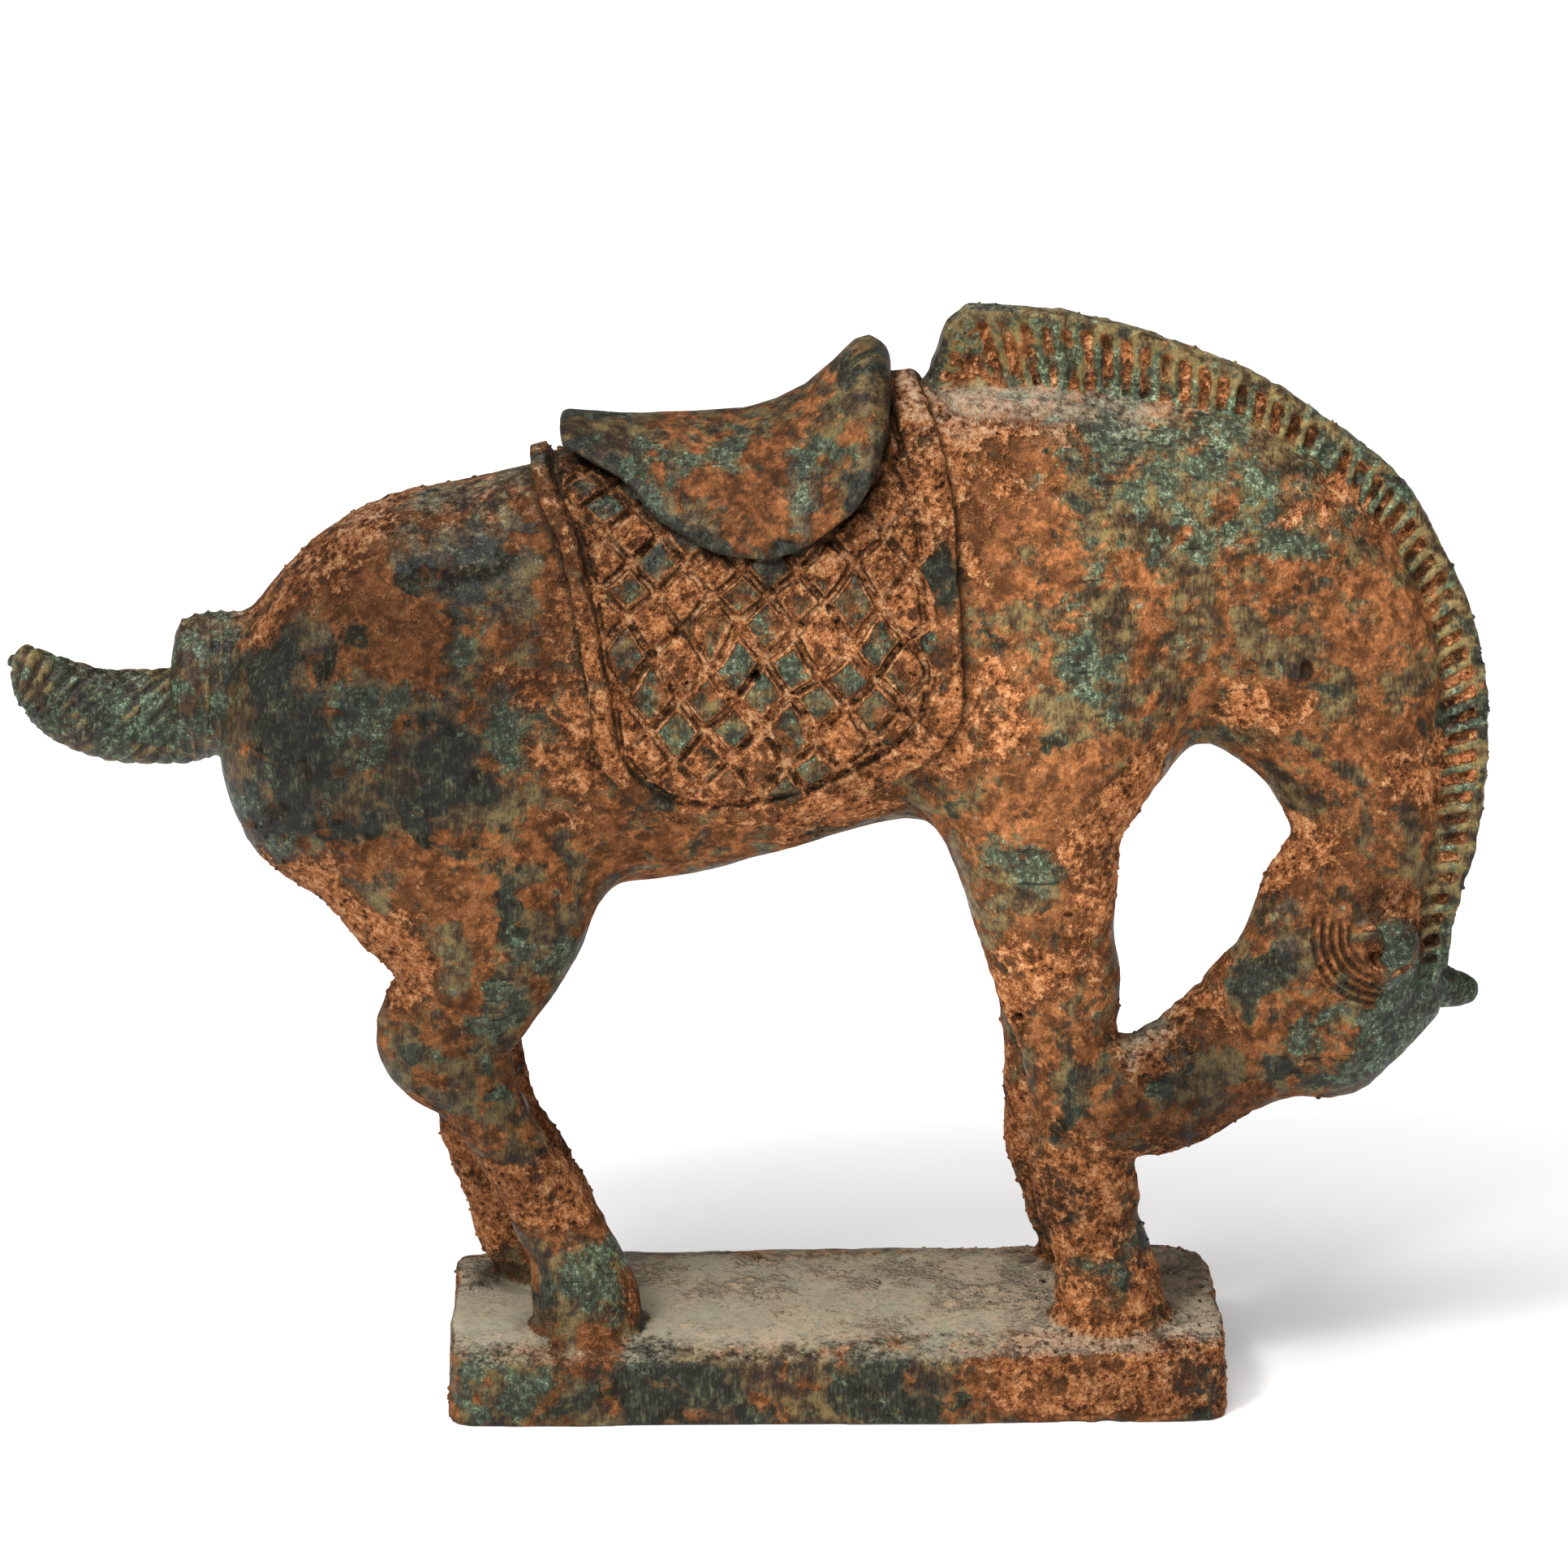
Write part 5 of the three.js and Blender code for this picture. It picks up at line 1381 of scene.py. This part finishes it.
def uneven_tone_and_painted_light(tree, marks, colour):
    """All coats together lighter and darker, by the tone of the place, which holds painted light and shade,
    and by small unevenness.
    """
    unevenness = weighted(tree, marks, patches=0.25, veins=0.10, mottle=0.20, grain=0.25, fine_grain=0.20)
    light_or_dark = climb(tree, unevenness, 0.42, 0.58, 0.64, 1.36)
    return shaded(tree, colour, calculate(tree, "MULTIPLY", marks["tone_and_light"], light_or_dark))


# %% [markdown]
# Grey dust lies on what faces up, most of all on the plinth. Last of all come the small dark pits, and dark
# brown in hollows, sheltered places and carved lines, which is partly grime and partly painted shade and
# makes the carving legible from a step away.

# %% Dust, pits and grime
def dust_film(tree, marks, colour):
    edge = weighted(tree, marks, dust=0.30, grain=0.4, fine_grain=0.2, mottle=0.25, patches=0.2)
    marks["dust_cover"] = climb(tree, edge, 0.62, 0.88, 0.0, 0.75)
    return coat(tree, marks["dust_cover"], colour, DUST)


def pits_grime_and_painted_shade(tree, marks, colour):
    holes = climb(tree, weighted(tree, marks, grain=0.8, mottle=0.2), 0.40, 0.36, 0.0, 0.9)
    marks["pitted"] = calculate(tree, "MULTIPLY", holes, climb(tree, marks["cake"], 0.0, 1.0, 0.15, 1.0))
    colour = coat(tree, marks["pitted"], colour, PIT)
    # Dark brown in hollows, sheltered places and carved lines: partly grime, partly painted shade.
    grime_and_painted_shade = weighted(tree, marks, hollow=0.75, shelter=0.5, carved_line=0.6)
    return coat(tree, climb(tree, grime_and_painted_shade, 0.20, 0.95, 0.0, 0.8), colour, DARK_BROWN)


# %% [markdown]
# Earth and dust are dull, bare metal has a soft shine. The finest relief, smaller than a triangle, is a
# bump. Everything larger than that is in the mesh already.

# %% Gloss and fine relief
BUMP_DISTANCE = 0.0016
BARE_AND_COVERED = {"Roughness": (0.50, 0.88), "Metallic": (0.15, 0.0), "Specular IOR Level": (0.25, 0.10)}


def add_gloss(tree, marks, surface):
    film_or_dust = calculate(tree, "MAXIMUM", marks["film"], marks["dust_cover"])
    earthy = calculate(tree, "MAXIMUM", marks["cake"], film_or_dust)
    for name, (bare, covered) in BARE_AND_COVERED.items():
        tree.links.new(blend_value(tree, earthy, bare, covered), surface.inputs[name])


def add_relief(tree, marks, surface):
    granular = weighted(tree, marks, grain=1.0, fine_grain=0.5, pitted=-0.3)
    on_cake = climb(tree, marks["cake"], 0.0, 1.0, 0.22, 1.0)
    marks["granular_relief"] = calculate(tree, "MULTIPLY", granular, on_cake)
    height = weighted(
        tree, marks, granular_relief=1.0, cake=0.30, film=0.14, mottle=0.30, scratches=0.08, vein=0.1,
        scored=-0.2, darkness=-0.1,
    )
    bump = add_node(tree, "ShaderNodeBump", {"Height": height, "Distance": BUMP_DISTANCE, "Strength": 1.0})
    tree.links.new(bump.outputs["Normal"], surface.inputs["Normal"])


# %% Patina material
COATS = (
    rust_stain, black_green_islands, green_specks, granular_crust, uneven_tone_and_painted_light, dust_film, pits_grime_and_painted_shade,
)


def patina_material():
    material = bpy.data.materials.new("bronze_patina")
    material.use_nodes = True
    tree = material.node_tree
    surface = tree.nodes["Principled BSDF"]
    found = patina_marks(tree)
    colour = worn_metal(tree, found)
    for lay_coat in COATS:
        colour = lay_coat(tree, found, colour)
    tree.links.new(colour, surface.inputs["Base Color"])
    add_gloss(tree, found, surface)
    add_relief(tree, found, surface)
    return material


patina = patina_material()
for piece in pieces:
    piece.data.materials.append(patina)
print("patina nodes:", len(patina.node_tree.nodes))

# %% [markdown]
# ## Loose grains of crust
# Corrosion also stands off the metal as single grains. They are scattered with Geometry Nodes, because
# there are thousands and their density follows the crust: thick in the quilting and round the hooves, none
# on the worn shoulder. A grain is a tiny twenty-sided ball, squashed at random, sunk halfway in. The tree
# ends in real geometry, and the scattered grains become a plain mesh of their own.

# %% Grain tree
GRAINS_PER_SQUARE_METRE = 60000
GRAIN_SMALL, GRAIN_LARGE = 0.00035, 0.00095
GRAIN_SQUASH = 0.8
GRAIN_FACES = 20
THIN_CRUST = 0.35


def grain_tree():
    """The tree, and the identifiers of its two inputs, density and seed."""
    tree = bpy.data.node_groups.new("crust_grains", "GeometryNodeTree")
    tree.interface.new_socket("Geometry", in_out="INPUT", socket_type="NodeSocketGeometry")
    density = tree.interface.new_socket("Density", in_out="INPUT", socket_type="NodeSocketFloat")
    seed = tree.interface.new_socket("Seed", in_out="INPUT", socket_type="NodeSocketInt")
    tree.interface.new_socket("Geometry", in_out="OUTPUT", socket_type="NodeSocketGeometry")
    given = add_node(tree, "NodeGroupInput", {}).outputs
    crust_here = add_node(tree, "GeometryNodeInputNamedAttribute", {"Name": "crust"}, data_type="FLOAT")
    thickness = add_node(tree, "ShaderNodeMapRange", {
        "Value": crust_here.outputs["Attribute"], "From Min": THIN_CRUST,
    })
    share = calculate(tree, "MULTIPLY", thickness.outputs["Result"], given["Density"])
    scatter = add_node(tree, "GeometryNodeDistributePointsOnFaces", {
        "Mesh": given["Geometry"], "Density": share, "Seed": given["Seed"],
    })
    ball = add_node(tree, "GeometryNodeMeshIcoSphere", {"Radius": 1.0, "Subdivisions": 1})
    size = add_node(tree, "FunctionNodeRandomValue", {
        "Min": (GRAIN_SMALL, GRAIN_SMALL, GRAIN_SMALL * GRAIN_SQUASH),
        "Max": (GRAIN_LARGE, GRAIN_LARGE, GRAIN_LARGE * GRAIN_SQUASH),
    }, data_type="FLOAT_VECTOR")
    plant = add_node(tree, "GeometryNodeInstanceOnPoints", {
        "Points": scatter.outputs["Points"], "Instance": ball.outputs["Mesh"],
        "Rotation": scatter.outputs["Rotation"], "Scale": size.outputs["Value"],
    })
    real = add_node(tree, "GeometryNodeRealizeInstances", {"Geometry": plant.outputs["Instances"]})
    coating = add_node(tree, "GeometryNodeSetMaterial", {
        "Geometry": real.outputs["Geometry"], "Material": patina,
    })
    add_node(tree, "NodeGroupOutput", {"Geometry": coating.outputs["Geometry"]})
    return tree, density.identifier, seed.identifier


# %% Scatter the grains
scattering_tree, density_input, seed_input = grain_tree()


def scatter_grains(piece, name, seed):
    bed = bpy.data.objects.new("grain_bed", piece.data)
    bpy.context.collection.objects.link(bed)
    scattering = bed.modifiers.new("grains", "NODES")
    scattering.node_group = scattering_tree
    scattering[density_input] = GRAINS_PER_SQUARE_METRE
    scattering[seed_input] = seed
    grains = applied(bed, name)
    print(name, len(grains.data.polygons) // GRAIN_FACES, "grains")
    return grains


pieces.append(scatter_grains(horse, "crust_grains_horse", 3))
pieces.append(scatter_grains(tack, "crust_grains_cloth", 4))

# %% [markdown]
# ## Floor and light
# The photograph has a white ground and hardly any shadow, as in a product studio. A pale floor that glows a
# little keeps the shadow faint and the belly from going black. A small key light high on the left draws the
# carving, and a very wide sun with a dim white sky fills the rest softly.

# %% Floor
FLOOR_GREY, FLOOR_ROUGHNESS, FLOOR_GLOW = 0.9, 0.9, 0.18

floor_mesh = bpy.data.meshes.new("floor")
floor_mesh.from_pydata([(-8, -6, 0), (8, -6, 0), (8, 14, 0), (-8, 14, 0)], [], [(0, 1, 2, 3)])
floor = bpy.data.objects.new("floor", floor_mesh)
bpy.context.collection.objects.link(floor)
pale_floor = bpy.data.materials.new("pale_floor")
pale_floor.use_nodes = True
floor_finish = pale_floor.node_tree.nodes["Principled BSDF"].inputs
floor_finish["Base Color"].default_value = (FLOOR_GREY, FLOOR_GREY, FLOOR_GREY, 1)
floor_finish["Roughness"].default_value = FLOOR_ROUGHNESS
floor_finish["Emission Color"].default_value = (1, 1, 1, 1)
floor_finish["Emission Strength"].default_value = FLOOR_GLOW
floor_mesh.materials.append(pale_floor)

# %% Lights
KEY_PLACE, KEY_SIZE, KEY_POWER = Vector((-0.8, -1.0, 1.5)), 0.4, 18
SUN_DIRECTION, SUN_ANGLE, SUN_STRENGTH = Vector((0.25, 0.38, -1.0)), math.radians(55), 2.75
SKY_STRENGTH = 0.22


def add_light(name, kind, direction):
    light = bpy.data.objects.new(name, bpy.data.lights.new(name, kind))
    light.rotation_euler = direction.to_track_quat("-Z", "Y").to_euler()
    bpy.context.collection.objects.link(light)
    return light


key = add_light("key", "AREA", VIEW_TARGET - KEY_PLACE)
key.location = KEY_PLACE
key.data.size = KEY_SIZE
key.data.energy = KEY_POWER
overhead = add_light("overhead", "SUN", SUN_DIRECTION)
overhead.data.angle = SUN_ANGLE
overhead.data.energy = SUN_STRENGTH

sky = bpy.data.worlds.new("studio")
sky.use_nodes = True
background = sky.node_tree.nodes["Background"].inputs
background["Color"].default_value = (1, 1, 1, 1)
background["Strength"].default_value = SKY_STRENGTH
bpy.context.scene.world = sky
bpy.context.scene.view_settings.view_transform = "Standard"

# %% [markdown]
# ## Into the frame
# All four meshes ride on the one body and take the place of the one solid: the casting in two meshes and its
# two layers of grains.

# %% Hand the pieces to the frame
for piece in pieces:
    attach(piece, "root")
    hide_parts("horse_and_plinth")
